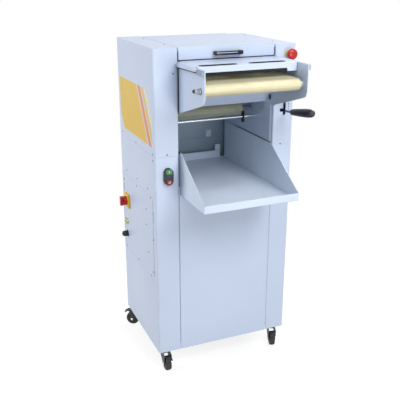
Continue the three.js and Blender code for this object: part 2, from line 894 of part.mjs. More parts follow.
// A spur gear drawn in Y and Z about its own axis, with a bore that seats on its shaft.
function gearShape(pitchRadius, boreRadius, phase) {
  const tip = pitchRadius + gearAddendum;
  const root = pitchRadius - gearDedendum;
  const slope = Math.tan(THREE.MathUtils.degToRad(toothFlankDegrees));
  const halfTip = (toothWidth / 2 - gearAddendum * slope) / tip;
  const halfRoot = (toothWidth / 2 + gearDedendum * slope) / root;
  const points = [];
  for (let tooth = 0; tooth < gearTeeth; tooth += 1) {
    const centre = phase + tooth * Math.PI * 2 / gearTeeth;
    for (const [radius, angle] of [[root, -halfRoot], [tip, -halfTip], [tip, halfTip], [root, halfRoot]]) {
      points.push([radius * Math.cos(centre + angle), radius * Math.sin(centre + angle)]);
    }
  }
  const shape = outline(points);
  const bore = new THREE.Path();
  bore.absarc(0, 0, boreRadius, 0, Math.PI * 2, true);
  shape.holes.push(bore);
  return shape;
}

const gearRise = upperRollerHeight - lowerRollerHeight;
const gearRun = upperRollerDepth - lowerRollerDepth;
const gearPitchRadius = Math.hypot(gearRise, gearRun) / 2;
const gearLine = Math.atan2(gearRise, gearRun);

function rollerGear(phase) {
  const high = leftPlateOuter - gearOffset;
  return pushedAlongX(gearShape(gearPitchRadius, sheetingShaftRadius + seat, phase), gearFar, high, roundSegments);
}

// Belts

function infeedBelt() {
  const first = { u: infeedFrontDepth, v: infeedFrontHeight, r: infeedRollerRadius };
  const second = { u: infeedDriveDepth, v: infeedDriveHeight, r: infeedRollerRadius };
  return pushedAlongX(beltLoop([first, second], beltSlack, feltThickness, beltSteps),
    leftPlateInner + infeedBeltEndGap, rightPlateInner - infeedBeltEndGap, beltSteps);
}

function mouldingBelt() {
  const first = { u: mouldingFrontDepth, v: mouldingHeight, r: mouldingRollerRadius };
  const second = { u: mouldingRearDepth, v: mouldingHeight, r: mouldingRollerRadius };
  return pushedAlongX(beltLoop([first, second], beltSlack, feltThickness, beltSteps),
    leftPlateInner + mouldingBeltEndGap, rightPlateInner - mouldingBeltEndGap, beltSteps);
}

function vBelt() {
  const first = { u: motorDepth, v: motorAxisHeight(), r: motorPulleyRadius - grooveDepth };
  const second = { u: lowerRollerDepth, v: lowerRollerHeight, r: drivenPulleyRadius - grooveDepth };
  const middle = leftPlateOuter - driveOffset;
  return pushedAlongX(beltLoop([first, second], beltSlack, vBeltThickness, beltSteps),
    middle - vBeltWidth / 2, middle + vBeltWidth / 2, beltSteps);
}

// The chain goes round the sprockets of both moulding rollers, the lower roller and the infeed drive.
function driveChain() {
  const sprockets = [
    { u: mouldingFrontDepth, v: mouldingHeight, r: mouldingSprocketRadius },
    { u: mouldingRearDepth, v: mouldingHeight, r: mouldingSprocketRadius },
    { u: lowerRollerDepth, v: lowerRollerHeight, r: lowerSprocketRadius },
    { u: infeedDriveDepth, v: infeedDriveHeight, r: infeedSprocketRadius },
  ];
  const middle = leftPlateOuter - chainOffset;
  return pushedAlongX(beltLoop(sprockets, beltSlack, chainThickness, chainSteps),
    middle - chainWidth / 2, middle + chainWidth / 2, chainSteps);
}

function pulleyProfile(rimRadius, boreRadius, middle) {
  const low = middle - pulleyWidth / 2;
  const high = middle + pulleyWidth / 2;
  const bottom = rimRadius - grooveDepth;
  return [
    [boreRadius, low],
    [rimRadius, low],
    [rimRadius, middle - grooveTopWidth / 2],
    [bottom, middle - grooveBottomWidth / 2],
    [bottom, middle + grooveBottomWidth / 2],
    [rimRadius, middle + grooveTopWidth / 2],
    [rimRadius, high],
    [boreRadius, high],
  ];
}

function drivenPulley() {
  const profile = pulleyProfile(drivenPulleyRadius, sheetingShaftRadius + seat, leftPlateOuter - driveOffset);
  return turnedAlongX([...profile, profile[0]], roundSegments);
}

function motorPulley() {
  const middle = leftPlateOuter - driveOffset;
  const shaftEnd = motorFaceX() - seat;
  const [low, ...rest] = pulleyProfile(motorPulleyRadius, motorShaftRadius, middle);
  return turnedAlongX([[0, low[1]], ...rest, [motorShaftRadius, shaftEnd], [0, shaftEnd]]);
}

function motorFaceX() {
  return leftPlateInner + motorSideGap;
}

function motor() {
  const face = motorFaceX();
  const rear = face + motorLength;
  const bell = motorLength / motorFins;
  const profile = [[0, face], [motorRadius - finHeight, face], [motorRadius, face + finHeight]];
  const finPitch = (motorLength - bell * 2) / motorFins;
  for (let fin = 0; fin < motorFins; fin += 1) {
    const start = face + bell + fin * finPitch;
    profile.push([motorRadius, start], [motorRadius + finHeight, start],
      [motorRadius + finHeight, start + finPitch / 2], [motorRadius, start + finPitch / 2]);
  }
  profile.push([motorRadius, rear - finHeight], [motorRadius - finHeight, rear], [0, rear]);
  const axis = motorAxisHeight();
  const body = turnedAlongX(profile).translate(0, motorDepth, axis);
  const middle = face + motorLength / 2;
  const footBottom = panThickness + seat;
  const foot = block(
    [middle - motorFootLength / 2, motorDepth - motorFootWidth / 2, footBottom],
    [middle + motorFootLength / 2, motorDepth + motorFootWidth / 2, footBottom + motorFootThickness]);
  const saddle = block(
    [middle - motorFootLength / 2, motorDepth - motorFootWidth / 3, footBottom],
    [middle + motorFootLength / 2, motorDepth + motorFootWidth / 3, axis - motorRadius / 2]);
  const box = block(
    [middle - motorBoxLength / 2, motorDepth - motorBoxWidth / 2, axis],
    [middle + motorBoxLength / 2, motorDepth + motorBoxWidth / 2, axis + motorRadius + motorBoxHeight]);
  return join(body, foot, saddle, box);
}

// Cradle of the upper roller, its link and its lever

function rollerCradle() {
  const low = leftPlateInner + seat * 2;
  const high = rightPlateInner - seat * 2;
  const tieHeight = upperRollerHeight + cradleTieRise;
  const end = (from, to) => {
    const shape = roundedRect(
      [upperRollerDepth - cradleWidth / 2, upperRollerHeight - cradleBelow],
      [upperRollerDepth + cradleWidth / 2, tieHeight + cradleTieRadius], cradleTieRadius);
    const bore = drillX(sheetingShaftRadius + shaftClearance, upperRollerDepth, upperRollerHeight,
      from - cutOverrun, to + cutOverrun);
    return cut(pushedAlongX(shape, from, to), bore);
  };
  const tie = drillX(cradleTieRadius, upperRollerDepth, tieHeight, low, high, smallSegments);
  return join(end(low, low + cradleThickness), end(high - cradleThickness, high), tie);
}

function gapLink() {
  const from = rightPlateOuter + linkOffset;
  const to = from + linkThickness;
  const pinHeight = leverPivotHeight;
  const bar = roundedRect(
    [upperRollerDepth - linkWidth / 2, pinHeight - linkWidth / 2],
    [upperRollerDepth + linkWidth / 2, upperRollerHeight], linkWidth / 3);
  const eye = drillX(linkEyeRadius, upperRollerDepth, upperRollerHeight, from, to);
  const body = join(pushedAlongX(bar, from, to), eye);
  const shaftBore = drillX(sheetingShaftRadius + shaftClearance, upperRollerDepth, upperRollerHeight,
    from - cutOverrun, to + cutOverrun);
  const pinBore = drillX(linkPinRadius + linkPinClearance, upperRollerDepth, pinHeight,
    from - cutOverrun, to + cutOverrun, smallSegments);
  return cut(body, shaftBore, pinBore);
}

function barBetween(from, to, radius, segments = smallSegments) {
  const path = new THREE.LineCurve3(new THREE.Vector3(...from), new THREE.Vector3(...to));
  const section = new THREE.Shape();
  section.absarc(0, 0, radius, 0, Math.PI * 2, false);
  return new THREE.ExtrudeGeometry(section, { steps: 1, extrudePath: path, curveSegments: segments / 2 });
}

function gapLever() {
  const hub = drillX(leverHubRadius, leverPivotDepth, leverPivotHeight,
    leverX - leverHubWidth / 2, leverX + leverHubWidth / 2);
  const bore = drillX(leverPinRadius + shaftClearance, leverPivotDepth, leverPivotHeight,
    leverX - leverHubWidth, leverX + leverHubWidth, smallSegments);
  const path = [
    [leverX, leverPivotDepth - leverPinRadius, leverPivotHeight],
    [leverX, -leverNeckReach, leverPivotHeight - leverNeckDrop],
    [leverX, -leverElbowReach, leverPivotHeight + leverElbowRise],
    [leverX, -leverTipReach, leverPivotHeight + leverTipRise],
  ];
  const arms = path.slice(1).map((end, i) => barBetween(path[i], end, leverRadius));
  const knees = path.slice(1, 3).map((point) => new THREE.SphereGeometry(leverRadius, smallSegments / 2, slotSteps)
    .translate(...point));
  const pin = drillX(linkPinRadius, upperRollerDepth, leverPivotHeight,
    rightPlateOuter + linkOffset - sheet, leverX, smallSegments);
  return join(cut(join(hub, arms[0]), bore), ...arms.slice(1), ...knees, pin);
}

// The grip is turned about the last stretch of the lever: thin at the elbow, full near the tip.
function leverGrip() {
  const from = new THREE.Vector3(0, -leverElbowReach, leverPivotHeight + leverElbowRise);
  const to = new THREE.Vector3(0, -leverTipReach, leverPivotHeight + leverTipRise);
  const direction = to.clone().sub(from);
  const length = direction.length();
  direction.normalize();
  const bore = leverRadius + seat;
  const start = gripLead;
  const end = length + gripBeyond;
  const blind = length + seat * 2;
  const profile = [
    [bore, start],
    [gripThin * gripEndShare, start],
    [gripThin, start + gripRound],
    [gripThick * gripWaistShare, start + length / 3],
    [gripThick, start + length * 2 / 3],
    [gripThick, end - gripRound * 2],
    [gripThick * gripEndShare, end - gripRound / 2],
    [0, end],
    [0, blind],
    [bore, blind],
    [bore, start],
  ];
  const geometry = turnedAlongY(profile.map(([radius, along]) => [radius, along]), roundSegments);
  const turn = new THREE.Quaternion().setFromUnitVectors(new THREE.Vector3(0, 1, 0), direction);
  geometry.applyQuaternion(turn);
  return geometry.translate(leverX, from.y, from.z);
}

// Guard: a slotted plate between the noses, with an arm outside each nose
function guard() {
  const front = -guardReach;
  const rear = -guardRear;
  const top = guardTop - halfSheet;
  const shape = foldedSheet([
    [rear, top - sheet * 2],
    [rear, top],
    [front + halfSheet, top],
    [front + halfSheet, guardTop - guardLip],
  ], halfSheet + seat);
  const plate = pushedAlongX(shape, guardPlateLeft, guardPlateRight);
  const slotDepth = front + guardSlotInset + guardSlotWidth / 2;
  const slots = [0, 1].map((i) => raised(slotShape(
    guardPlateLeft + guardSlotMargin + guardSlotLength / 2 + i * (guardSlotLength + guardSlotSpacing),
    slotDepth, guardSlotLength, guardSlotWidth), guardTop - sheet * 2, guardTop + cutOverrun, slotSteps));
  const arms = [[leftPlateOuter, guardPlateLeft, -1], [rightPlateOuter, guardPlateRight, 1]]
    .map(([outer, plateEdge, outward]) => guardArm(outer, plateEdge, outward));
  return join(cut(plate, ...slots), ...arms);
}

function guardArm(outer, plateEdge, outward) {
  const near = outer + outward * armGap;
  const far = near + outward * armThickness;
  const [low, high] = [near, far].sort((a, b) => a - b);
  const top = guardTop - armDrop;
  const tail = -guardPivotReach + armHeight / 2;
  const arm = pushedAlongX(roundedRect([armFront, top - armHeight], [tail, top], sheet), low, high);
  const bridgeFront = -guardReach + guardBridgeInset;
  const [bridgeLow, bridgeHigh] = [far, plateEdge - outward * halfSheet].sort((a, b) => a - b);
  const bridge = block([bridgeLow, bridgeFront, top - sheet],
    [bridgeHigh, bridgeFront + guardBridgeWidth, guardTop]);
  const bore = drillX(guardPinRadius + shaftClearance, -guardPivotReach, guardPivotHeight,
    low - cutOverrun, high + cutOverrun, smallSegments);
  return cut(join(arm, bridge), bore);
}

// Lid: a folded pan between the columns, hinged at its rear edge
function lid() {
  const low = leftColumnWidth + lidLeftGap;
  const high = rightColumnStart - lidRightGap;
  const rear = cabinetDepth - lidRearGap;
  const top = cabinetHeight - halfSheet;
  const along = foldedSheet([
    [halfSheet, cabinetHeight - lidFlange],
    [halfSheet, top],
    [rear, top],
    [rear, cabinetHeight - lidSideFlange],
  ], halfSheet + sheet);
  const across = foldedSheet([
    [low + halfSheet, cabinetHeight - lidSideFlange],
    [low + halfSheet, top],
    [high - halfSheet, top],
    [high - halfSheet, cabinetHeight - lidSideFlange],
  ], halfSheet + sheet);
  const pan = join(pushedAlongX(along, low + sheet, high - sheet), pushedAlongY(across, 0, rear + halfSheet));
  const { y, z } = hingeAxis();
  const tabs = hingeParts('moving').map((barrel) => {
    barrel.computeBoundingBox();
    const box = barrel.boundingBox;
    const tab = block([box.min.x, rear - halfSheet, z + hingePinRadius + halfSheet], [box.max.x, y, z + hingeRadius]);
    return join(barrel, tab);
  });
  return join(pan, ...tabs);
}

function lidHandle() {
  const middle = (leftColumnWidth + rightColumnStart) / 2 - handleShift;
  const height = cabinetHeight - handleDrop;
  const bar = pushedAlongX(roundedRect(
    [-handleReach, height - handleHeight / 2],
    [-handleReach + handleThickness, height + handleHeight / 2], handleThickness / 3),
    middle - handleLength / 2, middle + handleLength / 2);
  const posts = [-1, 1].map((side) => {
    const x = middle + side * (handleLength - handlePostWidth) / 2;
    return block([x - handlePostWidth / 2, -handleReach + halfSheet, height - handleHeight / 2 + halfSheet],
      [x + handlePostWidth / 2, -seat, height + handleHeight / 2 - halfSheet]);
  });
  return join(bar, ...posts);
}

// Tray: floor, two high side walls, a front lip and a low rear lip
function tray() {
  const low = leftPlateInner + traySideGap;
  const high = rightPlateInner - traySideGap;
  const inset = halfSheet / 2;
  const side = outline([
    [-trayTip + inset, trayFloor + inset],
    [trayRear - inset, trayFloor + inset],
    [trayRear - inset, trayWallTop],
    [-trayShoulder, trayWallTop],
    [-trayTip + inset, trayTipTop - inset],
  ]);
  const walls = [[low, low + sheet], [high - sheet, high]].map(([from, to]) => pushedAlongX(side, from, to));
  const floor = foldedSheet([
    [-trayTip + halfSheet, trayTipTop],
    [-trayTip + halfSheet, trayFloor + halfSheet],
    [trayRear - halfSheet, trayFloor + halfSheet],
    [trayRear - halfSheet, trayFloor + trayRearLip],
    [trayRear - halfSheet - trayHem, trayFloor + trayRearLip],
  ], halfSheet + seat);
  const tabEnd = high - tabInset;
  const beyondTab = block([tabEnd, trayRear - panelReturn, trayFloor + sheet * 2],
    [high - halfSheet - sheet, trayRear + cutOverrun, trayFloor + trayRearLip + cutOverrun]);
  const tab = block([tabEnd - tabWidth, trayRear - sheet, trayFloor + halfSheet],
    [tabEnd, trayRear, trayFloor + tabHeight]);
  return join(cut(pushedAlongX(floor, low + halfSheet, high - halfSheet), beyondTab), tab, ...walls);
}

// Controls on the covers

function buttonHousing() {
  const radius = buttonHousingWidth / 2;
  const body = pushedAlongY(uprightSlotShape(buttonCentre, buttonHeight - buttonHousingHeight / 2,
    buttonHeight + buttonHousingHeight / 2, radius * 2), -buttonHousingDepth, -seat, slotSteps);
  const pockets = [-1, 1].map((side) => {
    const z = buttonHeight + side * buttonSpacing;
    return pushedAlongY(roundedRect(
      [buttonCentre - buttonWidth / 2 - buttonClearance, z - buttonTall / 2 - buttonClearance],
      [buttonCentre + buttonWidth / 2 + buttonClearance, z + buttonTall / 2 + buttonClearance],
      buttonTall / 4), -buttonHousingDepth - cutOverrun, -buttonHousingDepth + buttonPocket);
  });
  return cut(body, ...pockets);
}

function pushButton(side) {
  const z = buttonHeight + side * buttonSpacing;
  const shape = roundedRect([buttonCentre - buttonWidth / 2, z - buttonTall / 2],
    [buttonCentre + buttonWidth / 2, z + buttonTall / 2], buttonTall / 4);
  const floor = -buttonHousingDepth + buttonPocket - buttonTravel - seat * 2;
  return pushedAlongY(shape, -buttonHousingDepth - buttonProud, floor);
}

function stopCollar() {
  const bore = stopStemRadius + seat * 2;
  const profile = [
    [bore, -stopCollarDepth],
    [stopCollarRadius - sheet, -stopCollarDepth],
    [stopCollarRadius, -stopCollarDepth + sheet],
    [stopCollarRadius, -seat],
    [bore, -seat],
    [bore, -stopCollarDepth],
  ];
  return turnedAlongY(profile).translate(stopCentre, 0, stopHeight);
}

function stopMushroom() {
  const crown = -stopReach;
  const under = crown + stopCapDepth;
  const profile = [
    [0, crown],
    ...stopCapShares.map(([radiusShare, depthShare]) =>
      [stopCapRadius * radiusShare, crown + stopCapDepth * depthShare]),
    [stopCapRadius, under],
    [stopStemRadius, under],
    [stopStemRadius, coverLip],
    [0, coverLip],
  ];
  return turnedAlongY(profile).translate(stopCentre, 0, stopHeight);
}

function mainSwitchPlate() {
  const half = switchPlate / 2;
  const shape = roundedRect([switchDepth - half, switchHeight - half], [switchDepth + half, switchHeight + half],
    switchPlateThickness / 2);
  return pushedAlongX(shape, -switchPlateThickness, -seat);
}

function mainSwitchKnob() {
  const face = -switchPlateThickness - seat;
  const outer = face - switchKnobDepth;
  const disc = drillX(switchKnobRadius, switchDepth, switchHeight, outer, face);
  const grip = block(
    [outer - switchGripDepth, switchDepth - switchGripWidth / 2, switchHeight - switchKnobRadius],
    [outer + halfSheet, switchDepth + switchGripWidth / 2, switchHeight + switchKnobRadius]);
  return join(disc, grip);
}

function earthTerminal() {
  const stud = turnedAlongX([
    [0, -earthLength],
    [earthStudRadius, -earthLength],
    [earthStudRadius, -earthLength / 2],
    [earthRadius * earthConeShare, -earthLength / 2],
    [earthRadius, -earthLength / 5],
    [earthRadius, -seat],
    [0, -seat],
  ], smallSegments).translate(0, earthDepth, earthHeight);
  const wing = block(
    [-earthLength / 2 - wingHeight / 2, earthDepth - wingSpan / 2, earthHeight - wingThickness / 2],
    [-earthLength / 2 + wingHeight / 2, earthDepth + wingSpan / 2, earthHeight + wingThickness / 2]);
  return join(stud, wing);
}

function cableGland() {
  const nutEnd = -glandNutLength;
  const tip = nutEnd - glandDomeLength;
  const nut = turnedAlongX([[0, nutEnd], [glandRadius, nutEnd], [glandRadius, -seat], [0, -seat]], 6);
  const dome = turnedAlongX([
    [0, tip],
    [glandRadius * glandTipShare, tip],
    [glandRadius * glandDomeShare, nutEnd - glandDomeLength / 2],
    [glandRadius * glandDomeShare, nutEnd + halfSheet],
    [0, nutEnd + halfSheet],
  ], smallSegments);
  const bore = turnedAlongX([[0, tip - cutOverrun], [glandBore, tip - cutOverrun], [glandBore, nutEnd], [0, nutEnd]],
    smallSegments);
  return cut(join(nut, dome), bore).translate(0, glandDepth, glandHeight);
}

// Casters, each drawn about its kingpin with the wheel trailing towards -Y

function casterTopPlate() {
  const half = casterPlate / 2;
  const top = casterHeight - seat;
  const bottom = top - casterPlateThickness;
  const plate = raised(roundedRect([-half, -half], [half, half], casterHoleInset / 2), bottom, top);
  const holes = [];
  for (const x of [-1, 1]) {
    for (const y of [-1, 1]) {
      holes.push(turnedAlongZ([[0, -cutOverrun], [casterHoleRadius, -cutOverrun], [casterHoleRadius, cutOverrun],
        [0, cutOverrun]], smallSegments / 2).translate(x * (half - casterHoleInset), y * (half - casterHoleInset), top));
    }
  }
  const pin = turnedAlongZ([[0, -crownDrop], [kingpinRadius, -crownDrop], [kingpinRadius, halfSheet], [0, halfSheet]],
    smallSegments).translate(0, 0, bottom);
  return join(cut(plate, ...holes), pin);
}

function forkLegShape() {
  const crownTop = casterHeight - seat - casterPlateThickness - crownDrop + crownThickness;
  const pivotHeight = casterHeight - pedalPivotDrop - seat;
  const half = crownLength / 2;
  const boss = casterAxleRadius * 2;
  return outline([
    [half, crownTop],
    [-half, crownTop],
    [-pedalPivotTrail - pedalBarrelRadius, pivotHeight + pedalBarrelRadius],
    [-pedalPivotTrail - pedalBarrelRadius, pivotHeight - pedalBarrelRadius],
    [-casterTrail - boss, wheelRadius],
    [-casterTrail - boss / 2, wheelRadius - boss],
    [-casterTrail + boss / 2, wheelRadius - boss],
    [half, crownTop - crownDrop],
  ]);
}

function casterFork() {
  const crownTop = casterHeight - seat - casterPlateThickness - crownDrop + crownThickness;
  const outer = forkGap / 2 + forkThickness;
  const legs = [[-outer, -forkGap / 2], [forkGap / 2, outer]].map(([a, b]) => pushedAlongX(forkLegShape(), a, b));
  const half = crownLength / 2;
  const crown = block([-outer, -half, crownTop - crownThickness], [outer, half, crownTop]);
  const raceTop = casterHeight - seat - casterPlateThickness - seat;
  const race = turnedAlongZ([[0, crownTop - halfSheet], [raceRadius - sheet, crownTop - halfSheet],
    [raceRadius, crownTop + halfSheet], [raceRadius, raceTop], [0, raceTop]], smallSegments);
  const bore = turnedAlongZ([[0, 0], [kingpinRadius + shaftClearance, 0],
    [kingpinRadius + shaftClearance, casterHeight], [0, casterHeight]], smallSegments);
  const axle = drillX(casterAxleRadius, -casterTrail, wheelRadius, -outer, outer, smallSegments);
  const pivot = drillX(pedalPinRadius, -pedalPivotTrail, casterHeight - pedalPivotDrop - seat,
    -outer, outer, smallSegments / 2);
  return join(cut(join(...legs, crown, race), bore), axle, pivot);
}

function casterWheel() {
  const half = wheelTread / 2;
  const bore = casterAxleRadius + shaftClearance;
  const side = [
    [bore, half],
    [wheelHubRadius, half],
    [wheelHubRadius, half - wheelDish],
    [wheelRimRadius, half - wheelDish],
    [wheelRimRadius, half],
    [wheelRadius - wheelShoulder, half],
    [wheelRadius, half - wheelShoulder],
  ];
  const mirrored = side.map(([radius, along]) => [radius, -along]);
  const profile = [...mirrored, ...side.slice().reverse(), mirrored[0]];
  const halfStep = Math.PI / wheelSegments;
  return turnedAlongX(profile, wheelSegments).rotateX(halfStep).translate(0, -casterTrail, wheelRadius);
}

function brakePedal() {
  const z = casterHeight - pedalPivotDrop - seat;
  const bore = pedalPinRadius + shaftClearance;
  const barrel = drillX(pedalBarrelRadius, -pedalPivotTrail, z, -pedalWidth / 2, pedalWidth / 2, smallSegments);
  const tip = -pedalPivotTrail - pedalReach;
  const arm = pushedAlongX(outline([
    [-pedalPivotTrail, z - pedalBarrelRadius / 2],
    [-pedalPivotTrail, z + pedalBarrelRadius],
    [-pedalPivotTrail - pedalReach / 2, z + pedalBarrelRadius],
    [tip, z - pedalThickness],
    [tip + pedalThickness / 2, z - pedalThickness * 2],
    [-pedalPivotTrail - pedalReach / 2, z - pedalBarrelRadius / 2],
  ]), -pedalWidth / 2, pedalWidth / 2);
  const hole = drillX(bore, -pedalPivotTrail, z, -pedalWidth, pedalWidth, smallSegments / 2);
  return cut(join(barrel, arm), hole);
}

function addCaster(corner, x, y) {
  const mount = new THREE.Group();
  mount.position.set(x, y, 0);
  machine.add(mount);
  addPiece(`${corner}_caster_plate`, casterTopPlate(), chrome(), mount);
  const swivel = new THREE.Group();
  swivel.rotation.z = THREE.MathUtils.degToRad(casterTurns[corner]);
  mount.add(swivel);
  addPiece(`${corner}_caster_fork`, casterFork(), blackPlastic(), swivel);
  addPiece(`${corner}_caster_wheel`, casterWheel(), rubber(), swivel);
  addPiece(`${corner}_brake_pedal`, brakePedal(), blackPlastic(), swivel);
}

addPiece('base_pan', basePan(), paint());
addPiece('left_base_cover', leftBaseCover(), paint());
addPiece('left_head_cover', headCover(leftColumnWidth, 0, cabinetHeight), paint());
addPiece('right_base_cover', baseCover(rightColumnStart, cabinetWidth), paint());
addPiece('right_head_cover', rightHeadCover(), paint());
addPiece('front_panel', frontPanel(), paint());
addPiece('back_panel', backPanel(), paint());
addPiece('lid', lid(), paint());
addPiece('lid_handle', lidHandle(), blackPlastic());
addPiece('left_side_plate', leftSidePlate(), paint());
addPiece('right_side_plate', rightSidePlate(), paint());
addPiece('under_belt_panel', underBeltPanel(), paint());
addPiece('tie_rod', tieRod(), steel());
addPiece('pressure_board', pressureBoard(), steel());
addPiece('guard', guard(), paint());
addPiece('tray', tray(), paint());

const rollers = [
  ['infeed_front_roller', infeedFrontRoller(), infeedFrontDepth, infeedFrontHeight],
  ['infeed_drive_roller', drivenRoller(infeedRollerRadius, infeedShaftRadius, infeedSprocketRadius,
    infeedRollerEndGap), infeedDriveDepth, infeedDriveHeight],
  ['lower_roller', drivenRoller(sheetingRadius, sheetingShaftRadius, lowerSprocketRadius,
    rollerEndGap, driveShaftEnd), lowerRollerDepth, lowerRollerHeight],
  ['upper_roller', upperRoller(), upperRollerDepth, upperRollerHeight],
  ['moulding_front_roller', drivenRoller(mouldingRollerRadius, mouldingShaftRadius, mouldingSprocketRadius,
    mouldingRollerEndGap), mouldingFrontDepth, mouldingHeight],
  ['moulding_rear_roller', drivenRoller(mouldingRollerRadius, mouldingShaftRadius, mouldingSprocketRadius,
    mouldingRollerEndGap), mouldingRearDepth, mouldingHeight],
  ['lower_gear', rollerGear(gearLine), lowerRollerDepth, lowerRollerHeight],
  ['upper_gear', rollerGear(gearLine + Math.PI + Math.PI / gearTeeth), upperRollerDepth, upperRollerHeight],
  ['driven_pulley', drivenPulley(), lowerRollerDepth, lowerRollerHeight],
  ['motor_pulley', motorPulley(), motorDepth, motorAxisHeight()],
];
for (const [name, geometry, y, z] of rollers) {
  addPiece(name, geometry, steel()).position.set(0, y, z);
}

addPiece('infeed_belt', infeedBelt(), felt());
addPiece('moulding_belt', mouldingBelt(), felt());
addPiece('v_belt', vBelt(), rubber());
addPiece('drive_chain', driveChain(), steel());
addPiece('motor', motor(), steel());
addPiece('roller_cradle', rollerCradle(), steel());
addPiece('gap_link', gapLink(), steel());
addPiece('gap_lever', gapLever(), steel());
addPiece('lever_grip', leverGrip(), blackPlastic());
addPiece('button_housing', buttonHousing(), blackPlastic());
addPiece('start_button', pushButton(1), plasticOf(0x2f9a4a));
addPiece('stop_button', pushButton(-1), plasticOf(0xc8202a));
addPiece('emergency_stop_collar', stopCollar(), plasticOf(0xe8b81e));
addPiece('emergency_stop_mushroom', stopMushroom(), plasticOf(0xc9202b));
addPiece('main_switch_plate', mainSwitchPlate(), plasticOf(0xe8b51c));
addPiece('main_switch_knob', mainSwitchKnob(), plasticOf(0xc2261f));
addPiece('earth_terminal', earthTerminal(), finish(0x9aa05a, 0.4, 0.8));
addPiece('cable_gland', cableGland(), blackPlastic());

addCaster('front_left', casterInset, casterInset);
addCaster('front_right', cabinetWidth - casterInset, casterInset);
addCaster('rear_left', casterInset, cabinetDepth - casterInset);
addCaster('rear_right', cabinetWidth - casterInset, cabinetDepth - casterInset);

// The origin moves to the middle of the footprint of the whole machine, on the floor.
const bounds = new THREE.Box3().setFromObject(machine, true);
const middle = bounds.getCenter(new THREE.Vector3());
machine.position.set(-middle.x, -middle.y, -bounds.min.z);

export default machine;
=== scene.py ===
import json
import math

import bmesh
import bpy
from mathutils import Matrix, Vector
from mathutils.geometry import tessellate_polygon


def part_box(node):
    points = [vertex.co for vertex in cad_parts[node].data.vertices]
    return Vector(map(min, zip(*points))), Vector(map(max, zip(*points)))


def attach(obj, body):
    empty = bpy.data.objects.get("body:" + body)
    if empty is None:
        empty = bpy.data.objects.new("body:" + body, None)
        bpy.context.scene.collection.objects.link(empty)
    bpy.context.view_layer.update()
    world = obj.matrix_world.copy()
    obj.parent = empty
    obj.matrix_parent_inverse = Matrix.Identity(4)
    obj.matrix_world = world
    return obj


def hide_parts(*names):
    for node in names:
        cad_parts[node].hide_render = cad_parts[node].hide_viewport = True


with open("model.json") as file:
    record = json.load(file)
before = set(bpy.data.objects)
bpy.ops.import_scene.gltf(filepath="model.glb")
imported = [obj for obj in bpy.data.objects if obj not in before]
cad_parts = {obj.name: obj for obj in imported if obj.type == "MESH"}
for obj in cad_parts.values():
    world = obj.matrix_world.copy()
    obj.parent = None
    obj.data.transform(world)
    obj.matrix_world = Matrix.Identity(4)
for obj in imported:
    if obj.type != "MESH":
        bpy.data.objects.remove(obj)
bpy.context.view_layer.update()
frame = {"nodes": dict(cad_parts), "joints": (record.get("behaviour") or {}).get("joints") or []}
nodes = frame["nodes"]
joints = {joint["name"]: joint for joint in frame["joints"]}
corners = ("front_left", "front_right", "rear_left", "rear_right")
print("frame loaded:", len(nodes), "nodes")

# Places below are millimetres from the cabinet's front left bottom corner, as in the drawings.
cabinetCorner = Vector(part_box("left_base_cover")[0])
millimetre = 0.001
sideways = Vector((1, 0, 0))
backwards = Vector((0, 1, 0))
upwards = Vector((0, 0, 1))
cabinet = {"width": 596, "depth": 466, "top": 1270, "rightTop": 1265, "seam": 862, "left": 98, "right": 506,
           "middle": 302}


def place(x, y, z):
    return cabinetCorner + Vector((x, y, z)) * millimetre


def drawn(point):
    # The other way round: a point of the scene in the drawings' millimetres.
    return (Vector(point) - cabinetCorner) / millimetre


def drawnBox(name):
    low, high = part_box(name)
    return drawn(low), drawn(high)


def sided(x, mirrored):
    # A place at the chamber's left side, or its mirror image at the right.
    return 2 * cabinet["middle"] - x if mirrored else x


class Wire:
    # One output socket of a node; arithmetic on it adds Math nodes.
    def __init__(self, graph, socket):
        self.graph = graph
        self.socket = socket

    def math(self, operation, first, second):
        return self.graph.node("ShaderNodeMath", {"operation": operation}, {0: first, 1: second})

    def __add__(self, other):
        return self.math("ADD", self, other)

    def __radd__(self, other):
        return self.math("ADD", other, self)

    def __sub__(self, other):
        return self.math("SUBTRACT", self, other)

    def __rsub__(self, other):
        return self.math("SUBTRACT", other, self)

    def __mul__(self, other):
        return self.math("MULTIPLY", self, other)

    def __rmul__(self, other):
        return self.math("MULTIPLY", other, self)

    def __gt__(self, other):
        return self.math("GREATER_THAN", self, other)

    def __lt__(self, other):
        return self.math("LESS_THAN", self, other)


